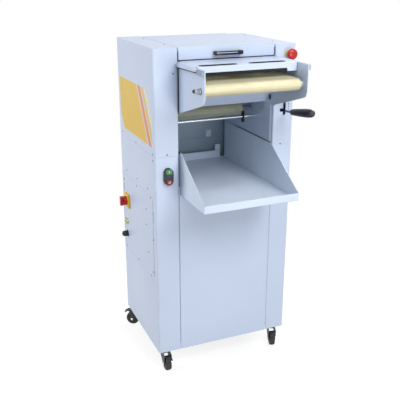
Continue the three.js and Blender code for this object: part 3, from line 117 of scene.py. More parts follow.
class Graph:
    # The nodes of one material or world.
    def __init__(self, owner):
        owner.use_nodes = True
        self.tree = owner.node_tree

    def node(self, kind, settings=None, inputs=None, output=0):
        made = self.tree.nodes.new(kind)
        for name, value in (settings or {}).items():
            if name == "stops":
                self.setStops(made.color_ramp, value)
            else:
                setattr(made, name, value)
        for key, value in (inputs or {}).items():
            self.feed(made.inputs[key], value)
        return Wire(self, made.outputs[output]) if made.outputs else None

    def setStops(self, ramp, stops):
        while len(ramp.elements) < len(stops):
            ramp.elements.new(1)
        for element, (position, colour) in zip(ramp.elements, stops):
            element.position = position
            element.color = colour

    def feed(self, socket, value):
        if isinstance(value, Wire):
            self.tree.links.new(value.socket, socket)
        else:
            socket.default_value = value

    def mixColour(self, share, first, second):
        # The Mix node's colour sockets share their names with others, so they go by number.
        return self.node("ShaderNodeMix", {"data_type": "RGBA"}, {0: share, 6: first, 7: second}, 2)

    def scaledColour(self, colour, factor):
        if not isinstance(colour, Wire):
            colour = colour[:3]
        return self.node("ShaderNodeVectorMath", {"operation": "SCALE"}, {0: colour, "Scale": factor})

    def coordinates(self):
        return self.node("ShaderNodeTexCoord", output="Object")

    def stretched(self, scale):
        return self.node("ShaderNodeMapping", {}, {"Vector": self.coordinates(), "Scale": scale})

    def axes(self):
        return [self.node("ShaderNodeSeparateXYZ", {}, {"Vector": self.coordinates()}, axis) for axis in "XYZ"]

    def noise(self, scale, detail, roughness=0.5, vector=None):
        return self.node("ShaderNodeTexNoise", {}, {
            "Vector": vector or self.coordinates(), "Scale": scale, "Detail": detail, "Roughness": roughness})

    def ramp(self, value, stops):
        grey = [(position, (level, level, level, 1)) for position, level in stops]
        return self.node("ShaderNodeValToRGB", {"stops": grey}, {"Fac": value})

    def streaks(self, scales, detail, roughness):
        # Noise that is drawn out along the axis with the smallest scale.
        return self.noise(1, detail, roughness, self.stretched(scales))

    def patches(self, scale, detail, roughness, start, full):
        # Soft patches: 0 where the noise is under start, 1 where it is over full.
        return self.ramp(self.noise(scale, detail, roughness), [(start, 0), (full, 1)])

    def bump(self, height, distance, strength, under=None):
        inputs = {"Height": height, "Distance": distance, "Strength": strength}
        if under:
            inputs["Normal"] = under
        return self.node("ShaderNodeBump", {}, inputs)


def tint(red, green, blue):
    # A colour as seen on a screen, 0 to 255, to the linear values that sockets take.
    def linear(value):
        share = value / 255
        return share / 12.92 if share <= 0.04045 else ((share + 0.055) / 1.055) ** 2.4
    return (linear(red), linear(green), linear(blue), 1)


def newMaterial(name, look, detail):
    material = bpy.data.materials.new(name)
    graph = Graph(material)
    shader = graph.tree.nodes["Principled BSDF"]
    for socket, value in look.items():
        shader.inputs[socket].default_value = value
    for socket, wire in detail(graph, look).items():
        graph.feed(shader.inputs[socket], wire)
    return material


# Noises list scale, detail and roughness, and patches also the levels where they start and are full.
# Bumps list depth in metres and strength. A share mixes a colour in, and a dull value adds to the roughness.
# The inner colour is painted shade for the inside of the chamber.
paint = {"colour": tint(204, 217, 240), "inner": tint(136, 154, 170), "innerDepth": 465,
         "tray": tint(216, 228, 246), "roughness": 0.34, "peel": (620, 2), "peelBump": (0.00002, 0.6),
         "cloud": (3.2, 3, 0.5, 0.3, 0.7), "cloudShare": 0.8, "cloudDepth": 0.95, "cloudDull": 0.06,
         "dust": (45, 5, 0.65, 0.35, 0.75), "dustShare": 0.12, "dustDull": 0.1}


def paintSurface(graph, colour):
    # Powder coat: faint clouding, orange peel, and a duller film where hands and flour go.
    cloud = graph.patches(*paint["cloud"])
    dust = graph.patches(*paint["dust"])
    clouded = graph.scaledColour(colour, paint["cloudDepth"])
    peel = graph.noise(*paint["peel"])
    return {"Base Color": graph.mixColour(cloud * paint["cloudShare"] + dust * paint["dustShare"], colour, clouded),
            "Roughness": cloud * paint["cloudDull"] + dust * paint["dustDull"] + paint["roughness"],
            "Normal": graph.bump(peel, *paint["peelBump"])}


def powderCoat(graph, look):
    return paintSurface(graph, look["Base Color"])


def powderCoatWithInnerShade(graph, look):
    # Painted shade: the back panel's inner face, and the hem on it, are coloured darker and greyer for the shade
    # inside the chamber.
    y = graph.axes()[1]
    inside = y < place(0, paint["innerDepth"], 0).y
    return paintSurface(graph, graph.mixColour(inside, look["Base Color"], paint["inner"]))


decal = {
    "bottom": 896, "top": 1112, "front": 26, "rear": 440, "lean": 0.6, "skin": 0.4,
    "bars": ((52, 372, tint(226, 188, 70)), (6, 40, tint(230, 138, 72)), (-30, -6, tint(226, 188, 70)),
             (-60, -42, tint(244, 226, 160))),
}


def powderCoatWithDecal(graph, look):
    # Plain slanted bars on the outer side of the left head cover, each from a start to an end in millimetres.
    x, y, z = graph.axes()
    low = place(0, decal["front"], decal["bottom"])
    high = place(decal["skin"], decal["rear"], decal["top"])
    onSide = (x < high.x) * (y > low.y) * (y < high.y) * (z > low.z) * (z < high.z)
    slant = ((y - low.y) - (z - low.z) * decal["lean"]) * (1 / millimetre)
    colour = look["Base Color"]
    for start, end, shade in decal["bars"]:
        colour = graph.mixColour(onSide * (slant > start) * (slant < end), colour, shade)
    return paintSurface(graph, colour)


shadedRestBlock = {"low": (-247, 1199.5), "high": (-194, 1219.5), "colour": tint(146, 162, 184)}


def powderCoatWithShadedRest(graph, look):
    # Painted shade: the stop blocks outside the noses are coloured grey-blue, darker than the white plates, for the
    # shade they sit in.
    x, y, z = graph.axes()
    low, high = place(cabinet["left"], *shadedRestBlock["low"]), place(cabinet["right"], *shadedRestBlock["high"])
    outside = (x < low.x) + (x > high.x)
    block = outside * (y > low.y) * (y < high.y) * (z > low.z) * (z < high.z)
    return paintSurface(graph, graph.mixColour(block, look["Base Color"], shadedRestBlock["colour"]))


felt = {"colour": tint(222, 214, 176), "worn": tint(186, 176, 128), "bright": tint(244, 239, 216),
        "dustAndShade": tint(104, 128, 130), "dustAndShadeShare": 0.55, "streaks": ((9, 90, 90), 4, 0.6), "streakShare": 0.6,
        "patch": (26, 4, 0.6), "patchShare": 0.4, "patchBump": (0.0006, 0.5), "wear": [(0.36, 0), (0.68, 1)],
        "wearShare": 0.5, "fibre": (900, 3, 0.6), "tips": [(0.3, 0), (0.7, 1)], "tipShare": 0.22,
        "fibreDull": 0.1, "fibreBump": (0.0004, 0.7)}


def woolFelt(graph, look):
    # Pressed wool with a smooth skin: short fibres, cross streaks from the rollers, and patches worn by flour.
    fibre = graph.noise(*felt["fibre"])
    streak = graph.streaks(*felt["streaks"])
    patch = graph.noise(*felt["patch"])
    wear = graph.ramp(streak * felt["streakShare"] + patch * felt["patchShare"], felt["wear"])
    colour = graph.mixColour(wear * felt["wearShare"], look["Base Color"], felt["worn"])
    tips = graph.ramp(fibre, felt["tips"])
    return {"Base Color": graph.mixColour(tips * felt["tipShare"], colour, felt["bright"]),
            "Roughness": fibre * felt["fibreDull"] + look["Roughness"],
            "Normal": graph.bump(fibre, *felt["fibreBump"], graph.bump(patch, *felt["patchBump"]))}


def greyFelt(graph, look):
    # The moulding felt, greyed partly by flour and machine dust and partly as painted shade for its place deep in
    # the machine.
    wires = woolFelt(graph, look)
    wires["Base Color"] = graph.mixColour(felt["dustAndShadeShare"], wires["Base Color"], felt["dustAndShade"])
    return wires


steel = {"brush": ((900, 30, 30), 3, 0.6), "brushDull": 0.14, "brushBump": (0.00003, 0.4),
         "stain": (18, 4, 0.5, 0.35, 0.75), "stainDepth": 0.72, "stainShare": 0.35, "stainDull": 0.08}


def turnedSteel(graph, look):
    # Fine tool marks round the axis X, and slight staining.
    marks = graph.streaks(*steel["brush"])
    stain = graph.patches(*steel["stain"])
    stained = graph.scaledColour(look["Base Color"], steel["stainDepth"])
    return {"Base Color": graph.mixColour(stain * steel["stainShare"], look["Base Color"], stained),
            "Roughness": marks * steel["brushDull"] + stain * steel["stainDull"] + look["Roughness"],
            "Normal": graph.bump(marks, *steel["brushBump"])}


plating = {"scuff": (60, 4, 0.6, 0.4, 0.8), "scuffDull": 0.12,
           "lines": ((700, 40, 40), 2, 0.5), "lineBump": (0.00001, 0.3)}


def polished(graph, look):
    # Ground or plated metal with light scuffs.
    scuff = graph.patches(*plating["scuff"])
    lines = graph.streaks(*plating["lines"])
    return {"Roughness": scuff * plating["scuffDull"] + look["Roughness"],
            "Normal": graph.bump(lines, *plating["lineBump"])}


plastic = {"grain": (1400, 2), "grainBump": (0.00003, 0.5), "glossBump": (0.00001, 0.3),
           "dust": (38, 5, 0.65, 0.45, 0.8), "dustTint": tint(168, 168, 166), "dustShare": 0.08, "dustDull": 0.16,
           "scuff": (90, 4, 0.6, 0.45, 0.8), "scuffDull": 0.1}


def moulded(graph, look):
    # Moulded plastic: fine grain and a little rubbed dust.
    grain = graph.noise(*plastic["grain"])
    dust = graph.patches(*plastic["dust"])
    return {"Base Color": graph.mixColour(dust * plastic["dustShare"], look["Base Color"], plastic["dustTint"]),
            "Roughness": dust * plastic["dustDull"] + look["Roughness"],
            "Normal": graph.bump(grain, *plastic["grainBump"])}


def glossMoulded(graph, look):
    # Smooth black plastic that is wiped clean, with hairline scuffs.
    grain = graph.noise(*plastic["grain"])
    scuff = graph.patches(*plastic["scuff"])
    return {"Roughness": scuff * plastic["scuffDull"] + look["Roughness"],
            "Normal": graph.bump(grain, *plastic["glossBump"])}


tread = {"grain": (700, 3, 0.6), "grainDull": 0.12, "grainBump": (0.0001, 0.6),
         "dust": (60, 5, 0.7, 0.42, 0.72), "dustTint": tint(120, 116, 110), "dustShare": 0.16}


def rubberTread(graph, look):
    # Tyre rubber with floor dust on it.
    grain = graph.noise(*tread["grain"])
    dust = graph.patches(*tread["dust"])
    return {"Base Color": graph.mixColour(dust * tread["dustShare"], look["Base Color"], tread["dustTint"]),
            "Roughness": grain * tread["grainDull"] + look["Roughness"],
            "Normal": graph.bump(grain, *tread["grainBump"])}


sealStrip = {"lines": ((60, 900, 900), 2, 0.5), "lineDull": 0.12, "lineBump": (0.00003, 0.4)}


def rubberSeal(graph, look):
    # Extruded rubber: fine lines along its length and a matt skin. It also colours the black strips that stand for
    # painted shade.
    lines = graph.streaks(*sealStrip["lines"])
    return {"Roughness": lines * sealStrip["lineDull"] + look["Roughness"],
            "Normal": graph.bump(lines, *sealStrip["lineBump"])}


enamel = {"lumps": (260, 4, 0.6), "lumpBump": (0.0002, 0.5),
          "cloud": (9, 3, 0.5, 0.35, 0.7), "cloudDepth": 0.82, "cloudShare": 0.3, "cloudDull": 0.08}


def castEnamel(graph, look):
    # Enamel over rough cast iron.
    lumps = graph.noise(*enamel["lumps"])
    cloud = graph.patches(*enamel["cloud"])
    clouded = graph.scaledColour(look["Base Color"], enamel["cloudDepth"])
    return {"Base Color": graph.mixColour(cloud * enamel["cloudShare"], look["Base Color"], clouded),
            "Roughness": cloud * enamel["cloudDull"] + look["Roughness"],
            "Normal": graph.bump(lumps, *enamel["lumpBump"])}


def paintLook(colour="colour"):
    return {"Base Color": paint[colour], "Roughness": paint["roughness"]}


def plasticLook(red, green, blue, roughness):
    return {"Base Color": tint(red, green, blue), "Roughness": roughness}


def metalLook(red, green, blue, roughness, metallic=1.0):
    return {"Base Color": (red, green, blue, 1), "Metallic": metallic, "Roughness": roughness}


finishes = {
    "paint": newMaterial("white_paint_coat", paintLook(), powderCoat),
    "paintInnerShade": newMaterial("paint_coat_with_painted_inner_shade", paintLook(), powderCoatWithInnerShade),
    "paintTray": newMaterial("tray_paint_coat", paintLook("tray"), powderCoat),
    "paintDecal": newMaterial("white_paint_decal", paintLook(), powderCoatWithDecal),
    "paintShadedRest": newMaterial("white_paint_with_shaded_rests", paintLook(), powderCoatWithShadedRest),
    "felt": newMaterial("cream_felt", {"Base Color": felt["colour"], "Roughness": 0.45, "Coat Weight": 0.4,
                                       "Coat Roughness": 0.2}, woolFelt),
    "feltGrey": newMaterial("grey_felt_dust_and_painted_shade", {"Base Color": felt["colour"], "Roughness": 0.7}, greyFelt),
    "steel": newMaterial("turned_steel", metalLook(0.62, 0.63, 0.66, 0.3), turnedSteel),
    "polished": newMaterial("polished_rod", metalLook(0.86, 0.87, 0.9, 0.1), polished),
    "zinc": newMaterial("zinc_plate", metalLook(0.74, 0.76, 0.8, 0.22), polished),
    "brass": newMaterial("plated_brass", metalLook(0.50, 0.53, 0.27, 0.34, 0.85), polished),
    "blackPlastic": newMaterial("black_moulding", plasticLook(15, 16, 18, 0.4), moulded),
    "glossBlack": newMaterial("black_gloss_moulding", plasticLook(12, 12, 14, 0.14), glossMoulded),
    "nutSteel": newMaterial("plain_nut", metalLook(0.38, 0.4, 0.44, 0.34), polished),
    "screwSteel": newMaterial("blued_screw", metalLook(0.2, 0.25, 0.31, 0.36), polished),
    "darkSteel": newMaterial("dark_pressing", metalLook(0.03, 0.034, 0.042, 0.42, 0.3), moulded),
    "greyRoller": newMaterial("grey_roller", metalLook(0.16, 0.19, 0.26, 0.46, 0.3), moulded),
    "rubber": newMaterial("black_tyre", plasticLook(22, 22, 24, 0.6), rubberTread),
    "enamel": newMaterial("grey_enamel", plasticLook(150, 156, 162, 0.4), castEnamel),
    "red": newMaterial("red_moulding", plasticLook(188, 17, 20, 0.24), moulded),
    "darkRed": newMaterial("dark_red_moulding", plasticLook(118, 14, 22, 0.3), moulded),
    "yellow": newMaterial("yellow_moulding", plasticLook(240, 190, 40, 0.34), moulded),
    "green": newMaterial("green_moulding", plasticLook(56, 134, 80, 0.28), moulded),
    "blueLens": newMaterial("blue_lens", plasticLook(28, 60, 96, 0.12), moulded),
    "whitePlastic": newMaterial("white_moulding", plasticLook(228, 234, 238, 0.4), moulded),
    "rubberAndShade": newMaterial("black_rubber_and_painted_shade", plasticLook(8, 8, 9, 0.8), rubberSeal),
}
print("materials ready:", len(finishes))

nodeFinish = {
    "paint": ("base_pan", "left_base_cover", "right_base_cover", "right_head_cover", "front_panel",
              "under_belt_panel", "lid"),
    "paintTray": ("tray",),
    "paintInnerShade": ("back_panel",),
    "paintDecal": ("left_head_cover",),
    "paintShadedRest": ("left_side_plate", "right_side_plate"),
    "steel": ("pressure_board", "infeed_front_roller", "infeed_drive_roller", "lower_roller", "upper_roller",
              "lower_gear", "upper_gear", "driven_pulley", "motor_pulley", "roller_cradle", "gap_link",
              "drive_chain"),
    "screwSteel": ("gap_lever",),
    "rubber": ("v_belt",),
    "enamel": ("motor",),
    "blackPlastic": ("button_housing",) + tuple(f"{corner}_brake_pedal" for corner in corners),
    "greyRoller": ("moulding_front_roller", "moulding_rear_roller"),
    "darkSteel": tuple(f"{corner}_caster_fork" for corner in corners),
    "zinc": tuple(f"{corner}_caster_plate" for corner in corners),
    "green": ("start_button",),
    "darkRed": ("stop_button",),
    "yellow": ("main_switch_plate",),
    "red": ("main_switch_knob",),
}
edges = {
    "sheet": 0.35, "angle": 0.75, "segments": 2, "weldDistance": 0.00002, "joinDistance": 0.000002,
    "wider": {"button_housing": 2.4, "start_button": 0.8, "stop_button": 0.8, "main_switch_plate": 1.2,
              "main_switch_knob": 1.6, "motor": 1.2, "gap_lever": 0.3},
}


def softenNode(name, finish):
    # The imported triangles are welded, shaded smooth, and given a small round on every sharp edge.
    mesh = nodes[name].data
    mesh.materials.clear()
    mesh.materials.append(finishes[finish])
    if mesh.has_custom_normals:
        mesh.attributes.remove(mesh.attributes["custom_normal"])
    mesh.shade_smooth()
    weld = nodes[name].modifiers.new("weld", "WELD")
    weld.merge_threshold = edges["weldDistance"]
    addBevel(nodes[name], edges["wider"].get(name, edges["sheet"]), edges["angle"], edges["segments"])
    even = nodes[name].modifiers.new("normals", "WEIGHTED_NORMAL")
    even.mode = "FACE_AREA"  # keeps the flat sheets flat beside their bends
    even.keep_sharp = True


def addBevel(piece, width, angle, segments):
    bevel = piece.modifiers.new("edge", "BEVEL")
    bevel.limit_method = "ANGLE"
    bevel.angle_limit = angle
    bevel.width = width * millimetre
    bevel.segments = segments
    bevel.harden_normals = True


for finish, names in nodeFinish.items():
    for name in names:
        softenNode(name, finish)
print("nodes finished")


class Form:
    # Points and faces of one piece, gathered before its mesh is made.
    def __init__(self):
        self.points = []
        self.faces = []

    def addRows(self, rows, looped=False):
        # Rows of equal length, each a closed ring; looped joins the last to the first, otherwise both are capped.
        start = len(self.points)
        count = len(rows[0])
        total = len(rows)
        for row in rows:
            self.points.extend(row)
        for row in range(total if looped else total - 1):
            following = (row + 1) % total
            for column in range(count):
                beside = (column + 1) % count
                self.faces.append([start + row * count + column, start + row * count + beside,
                                   start + following * count + beside, start + following * count + column])
        if not looped:
            self.faces.append([start + column for column in range(count)])
            self.faces.append([start + (total - 1) * count + column for column in range(count)])

    def addStrip(self, rows):
        # Open rows of equal length, side by side, with both ends closed.
        start = len(self.points)
        count = len(rows[0])
        for row in rows:
            self.points.extend(row)
        for row in range(len(rows) - 1):
            for column in range(count - 1):
                here = start + row * count + column
                self.faces.append([here, here + 1, here + count + 1, here + count])
        self.faces.append([start + column for column in range(count)])
        self.faces.append([start + (len(rows) - 1) * count + column for column in range(count)])

    def turned(self, profile, spot, axis, segments=48, looped=False):
        # A round body: the profile lists radius and place along the axis; looped makes it a ring.
        across = axis.orthogonal().normalized()
        other = axis.cross(across)
        angles = [math.tau * step / segments for step in range(segments)]
        rows = []
        for radius, along in profile:
            centre = spot + axis * along * millimetre
            rows.append([centre + (across * math.cos(angle) + other * math.sin(angle)) * radius * millimetre
                         for angle in angles])
        self.addRows(rows, looped)

    def slab(self, outline, low, high):
        # A flat body: low and high turn each point of the outline into a place.
        self.addRows([[low(point) for point in outline], [high(point) for point in outline]])

    def plate(self, outline, axis, low, high):
        # A flat body between two places along X (0), Y (1) or Z (2); the outline gives the other two.
        self.slab(outline, lambda point: place(*point[:axis], low, *point[axis:]),
                  lambda point: place(*point[:axis], high, *point[axis:]))

    def sheet(self, loops, low, high, openAt=None):
        # A flat plate in X and Y: the first loop is its edge, the others are holes; no wall along y = openAt.
        start = len(self.points)
        count = sum(len(loop) for loop in loops)
        for z in (low, high):
            self.points.extend(place(x, y, z) for loop in loops for x, y in loop)
        for corner in tessellate_polygon([[Vector((x, y, 0)) for x, y in loop] for loop in loops]):
            self.faces.append([start + i for i in corner])
            self.faces.append([start + count + i for i in corner])
        for loop in loops:
            for i, point in enumerate(loop):
                j = (i + 1) % len(loop)
                if point[1] != openAt or loop[j][1] != openAt:
                    self.faces.append([start + i, start + j, start + count + j, start + count + i])
            start += len(loop)

    def block(self, low, high):
        outline = [(low[0], low[1]), (high[0], low[1]), (high[0], high[1]), (low[0], high[1])]
        self.plate(outline, 2, low[2], high[2])

    def sidedBlock(self, low, high, mirrored):
        near, far = sorted(sided(x, mirrored) for x in (low[0], high[0]))
        self.block((near, *low[1:]), (far, *high[1:]))


def makePiece(name, form, finish, body, replaced=(), edge=0, sharpAngle=38, segments=2, joined=False):
    mesh = bpy.data.meshes.new(name)
    mesh.from_pydata([tuple(point) for point in form.points], [], form.faces)
    work = bmesh.new()
    work.from_mesh(mesh)
    if joined:
        bmesh.ops.remove_doubles(work, verts=work.verts, dist=edges["joinDistance"])
    bmesh.ops.recalc_face_normals(work, faces=work.faces)
    work.to_mesh(mesh)
    work.free()
    mesh.shade_smooth()
    mesh.set_sharp_from_angle(angle=math.radians(sharpAngle))
    mesh.materials.append(finishes[finish])
    piece = bpy.data.objects.new(name, mesh)
    bpy.context.scene.collection.objects.link(piece)
    if edge:
        addBevel(piece, edge, math.radians(sharpAngle), segments)
    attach(piece, body)
    if replaced:
        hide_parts(*replaced)


def roundedOutline(low, high, radius, steps=8):
    # A rounded rectangle, counterclockwise from its lower right corner.
    centres = ((high[0] - radius, low[1] + radius, -90), (high[0] - radius, high[1] - radius, 0),
               (low[0] + radius, high[1] - radius, 90), (low[0] + radius, low[1] + radius, 180))
    points = []
    for u, v, start in centres:
        for step in range(steps + 1):
            angle = math.radians(start + 90 * step / steps)
            points.append((u + radius * math.cos(angle), v + radius * math.sin(angle)))
    return points


belt = {"thickness": 3, "edge": 1.1, "arcSteps": 28, "runSteps": 18, "edgeSteps": 3, "infeedLeft": 107,
        "pairs": {"infeed_belt": ("infeed_front_roller_spin", "infeed_drive_roller_spin", "felt"),
                  "moulding_belt": ("moulding_front_roller_spin", "moulding_rear_roller_spin", "feltGrey")}}


def beltPath(first, second, radius):
    # Points with their outward directions round two equal rollers, in Y and Z.
    along = math.atan2(second[1] - first[1], second[0] - first[0])
    path = [(centre, start + math.pi * step / belt["arcSteps"])
            for centre, start in ((first, along + math.pi / 2), (second, along - math.pi / 2))
            for step in range(belt["arcSteps"] + 1)]
    points = []
    for i, (centre, angle) in enumerate(path):
        following = path[(i + 1) % len(path)][0]
        steps = 1 if following == centre else belt["runSteps"]
        for step in range(steps):
            spot = [a + (b - a) * step / steps for a, b in zip(centre, following)]
            points.append((spot[0] + radius * math.cos(angle), spot[1] + radius * math.sin(angle), angle))
    return points


def feltBelt(name, joint, otherJoint, finish):
    low, high = drawnBox(name)
    first, second = [tuple(drawn(joints[key]["pos_m"]))[1:] for key in (joint, otherJoint)]
    radius = first[0] - low.y - belt["thickness"]
    left = belt["infeedLeft"] if name == "infeed_belt" else low.x  # the infeed felt runs close to the left nose
    section = roundedOutline((left, 0), (high.x, belt["thickness"]), belt["edge"], belt["edgeSteps"])
    form = Form()
    form.addRows([[place(x, y + height * math.cos(angle), z + height * math.sin(angle)) for x, height in section]
                  for y, z, angle in beltPath(first, second, radius)], looped=True)
    makePiece(f"{name}_felt", form, finish, "cabinet", (name,), sharpAngle=60)


for name, pair in belt["pairs"].items():
    feltBelt(name, *pair)
print("felt belts made")

# The tab is where the lip slopes down, and the arm's rows list Y, the lower edge, and the top outside and inside.
guard = {
    "front": -175, "rear": -6, "top": 1222, "sheet": 2, "bend": 3.2, "bendSteps": 6, "lip": 1201, "left": 104.4,
    "right": 499.6, "wing": (-165, -27), "wingReach": 7.4, "tab": (458, 461), "tabLip": 1189, "hem": (1, 0.8, 0.6),
    "slots": ((119.4, 265.4), (315.4, 461.4)), "slotSides": (-162, -137), "slotRadius": 12.4,
    "arm": {"outer": 89.6, "inner": 97.4, "rows": (
        (-190, 1208.5, 1214.2, 1215.2), (-188, 1207.8, 1215.4, 1217), (-170, 1207, 1215.8, 1220.4),
        (-160, 1206.6, 1216.4, 1221.7), (-111, 1205.2, 1218.6, 1221.7), (-44, 1203.4, 1221, 1221.7),
        (-27, 1203, 1221.2, 1221.7), (-22, 1203, 1219.4, 1219.6), (-10, 1203, 1218.4, 1218.8),
        (-6.5, 1207, 1215, 1215))},
}


def guardPlate(form):
    # The slotted top with its wings over the notches of the noses, bent down into the front lip.
    front, rear, top, sheet, bend = [guard[key] for key in ("front", "rear", "top", "sheet", "bend")]
    left, right, reach = guard["left"], guard["right"], guard["wingReach"]
    wingFront, wingRear = guard["wing"]
    start, spots = front + bend, [left, *guard["tab"], right]
    outline = [(x, start) for x in spots] + [
        (right, wingFront), (right + reach, wingFront), (right + reach, wingRear), (right, wingRear), (right, rear),
        (left, rear), (left, wingRear), (left - reach, wingRear), (left - reach, wingFront), (left, wingFront)]
    slots = [roundedOutline((low, guard["slotSides"][0]), (high, guard["slotSides"][1]), guard["slotRadius"])
             for low, high in guard["slots"]]
    form.sheet([outline] + slots, top - sheet, top, start)
    turns = [math.pi / 2 * step / guard["bendSteps"] for step in range(guard["bendSteps"] + 1)]
    rows = []
    for x in spots:
        lip = guard["tabLip"] if x > guard["tab"][0] else guard["lip"]
        outside = [(start - bend * math.sin(turn), top - bend + bend * math.cos(turn)) for turn in turns]
        inner = bend - sheet
        inside = [(start - inner * math.sin(turn), top - bend + inner * math.cos(turn)) for turn in turns]
        rows.append([place(x, y, z) for y, z in
                     outside + [(front, lip), (front + sheet, lip)] + inside[::-1]])
    form.addStrip(rows)
    before, behind, below = guard["hem"]
    form.block((left, rear - before, top - 2 * sheet), (right, rear + behind, top - below))


def guardArms(form):
    # An arm outside each nose, lower and slimmer towards the front.
    arm = guard["arm"]
    for mirrored in (False, True):
        outer, inner = [sided(x, mirrored) for x in (arm["outer"], arm["inner"])]
        form.addRows([[place(outer, y, low), place(outer, y, outerTop), place(inner, y, innerTop),
                       place(inner, y, low)] for y, low, outerTop, innerTop in arm["rows"]])


trim = {"grown": (1.5, 0, -1.3), "seat": 0.3, "rise": 0.7, "skirt": 9, "flapSides": (-173.2, -171.4),
        "flap": ((105, 1190), (426, 1190), (444, 1193), (455, 1198), (458.5, 1204), (105, 1204)),
        "armOut": 0.4, "armIn": 0.2, "armDrop": 3.4, "armCover": 0.4}


def guardShadeTrim():
    # Painted shade: black edging round the slots, a black flap behind the lip, and black strips under the arms,
    # standing in for the shade under the guard.
    form = Form()
    top, radius = guard["top"], guard["slotRadius"]
    front, rear = guard["slotSides"]
    seat, rise, skirt = top - trim["seat"], top + trim["rise"], top - trim["skirt"]
    for low, high in guard["slots"]:
        rims = [roundedOutline((low - grown, front - grown), (high + grown, rear + grown), radius + grown)
                for grown in trim["grown"]]
        form.addRows([[place(*outside, seat), place(*outside, rise), place(*inside, rise),
                       place(*inside, skirt), place(*middle, skirt), place(*middle, seat)]
                      for outside, middle, inside in zip(*rims)], looped=True)
    form.plate(trim["flap"], 1, *trim["flapSides"])
    arm = guard["arm"]
    for mirrored in (False, True):
        outer, inner = [sided(x, mirrored) for x in (arm["outer"] + trim["armOut"], arm["inner"] - trim["armIn"])]
        rows = []
        for y, low, outerTop, innerTop in arm["rows"][1:-1]:
            drop, cover = low - trim["armDrop"], low + trim["armCover"]
            rows.append([place(outer, y, drop), place(outer, y, cover), place(inner, y, cover),
                         place(inner, y, drop)])
        form.addRows(rows)
    makePiece("guard_painted_shade_trim", form, "rubberAndShade", "guard", edge=0.3)


def slottedGuard():
    form = Form()
    guardPlate(form)
    guardArms(form)
    makePiece("guard_sheet", form, "paint", "guard", ("guard",), edge=0.6, joined=True)
    guardShadeTrim()


slottedGuard()
print("guard made")

rod = {"y": 115, "z": 965, "radius": 5, "chamfer": 0.6}
clip = {"low": 423.6, "high": 431.6, "bottom": 942, "top": 988, "halfWidth": 6.5, "corner": 3, "screwDrop": 8,
        "screw": ((3.2, 0), (3.2, 2.2), (2.6, 2.8), (1.4, 2.8), (1.2, 1))}


def tieRod():
    low, high = drawnBox("tie_rod")
    spot = place(0, rod["y"], rod["z"])
    radius, chamfer = rod["radius"], rod["chamfer"]
    form = Form()
    form.turned([(radius - chamfer, low.x), (radius, low.x + chamfer), (radius, high.x - chamfer),
                 (radius - chamfer, high.x)], spot, sideways)
    makePiece("tie_rod_bar", form, "polished", "cabinet", ("tie_rod",))
    near, far = rod["y"] - clip["halfWidth"], rod["y"] + clip["halfWidth"]
    form = Form()
    outline = roundedOutline((near, clip["bottom"]), (far, clip["top"]), clip["corner"])
    form.plate(outline, 0, clip["low"], clip["high"])
    screw = place((clip["low"] + clip["high"]) / 2, near, clip["top"] - clip["screwDrop"])
    form.turned(clip["screw"], screw, -backwards, segments=20)
    makePiece("tie_rod_clip", form, "rubberAndShade", "cabinet", edge=1.2)


tieRod()

handle = {"bar": 9.4, "post": 14, "corner": 9, "cornerSteps": 8, "inner": 3, "edge": 4.4, "edgeSegments": 6,
          "highlightStrip": {"left": 4, "right": 26, "low": 7.8, "high": 10, "corner": 1, "sunk": 2, "proud": 0.1}}


def lidHandle():
    # A bow of rounded bar, drawn in X and Y.
    low, high = drawnBox("lid_handle")
    corner, inner = handle["corner"], handle["inner"]
    outline = [(low.x, high.y)]
    for x, start in ((low.x + corner, 180), (high.x - corner, 270)):
        for step in range(handle["cornerSteps"] + 1):
            angle = math.radians(start + 90 * step / handle["cornerSteps"])
            outline.append((x + corner * math.cos(angle), low.y + corner + corner * math.sin(angle)))
    left, right, inside = low.x + handle["post"], high.x - handle["post"], low.y + handle["bar"]
    outline += [(high.x, high.y), (right, high.y), (right, inside + inner), (right - inner, inside),
                (left + inner, inside), (left, inside + inner), (left, high.y)]
    form = Form()
    form.plate(outline, 2, low.z, high.z)
    makePiece("lid_handle_bow", form, "glossBlack", "lid", ("lid_handle",), edge=handle["edge"],
              segments=handle["edgeSegments"])
    # Painted highlight: a white strip along the bow's front face stands in for the shine along the glossy bar.
    highlightStrip = handle["highlightStrip"]
    form = Form()
    outline = roundedOutline((low.x + highlightStrip["left"], low.z + highlightStrip["low"]),
                             (high.x - highlightStrip["right"], low.z + highlightStrip["high"]), highlightStrip["corner"])
    form.plate(outline, 1, low.y + highlightStrip["sunk"], low.y - highlightStrip["proud"])
    makePiece("lid_handle_painted_highlight", form, "paint", "lid", edge=0.2)


lidHandle()

grip = {"x": 556, "elbow": (-58, 1006), "tip": (-200, 1028),
        "profile": ((8.4, 2.4), (10.4, 3), (11.6, 5.4), (12.6, 14), (13.6, 32), (14.6, 52), (15.6, 74),
                    (16.4, 94), (16.8, 110), (16.7, 124), (16.1, 136), (15, 145), (13, 151), (10, 154.8),
                    (6.2, 156.6), (3, 157.2))}


def leverGrip():
    foot = place(grip["x"], *grip["elbow"])
    axis = (place(grip["x"], *grip["tip"]) - foot).normalized()
    form = Form()
    form.turned(grip["profile"], foot, axis)
    makePiece("lever_grip_handle", form, "blackPlastic", "gap_lever", ("lever_grip",),
              sharpAngle=50)


leverGrip()
print("rod, handle and grip made")

stop = {"capDepth": 15, "stem": 8, "sunk": -0.6, "segments": 64, "sharpAngle": 42,
        "rim": ((2.2, 0), (0.6, 0.8), (0, 2.6)), "shoulder": ((0, 7.4), (0.8, 4.9), (2.4, 3.1), (5, 1.7)),
        "crown": ((13.6, 0.95), (13.2, 1.3), (12.8, 0.9), (8, 0.35), (3, 0.04)),
        "collar": ((0, -0.4), (0, -4.6), (0.5, -5.2), (0.5, -6), (0, -6.6)), "collarBore": 8.9}


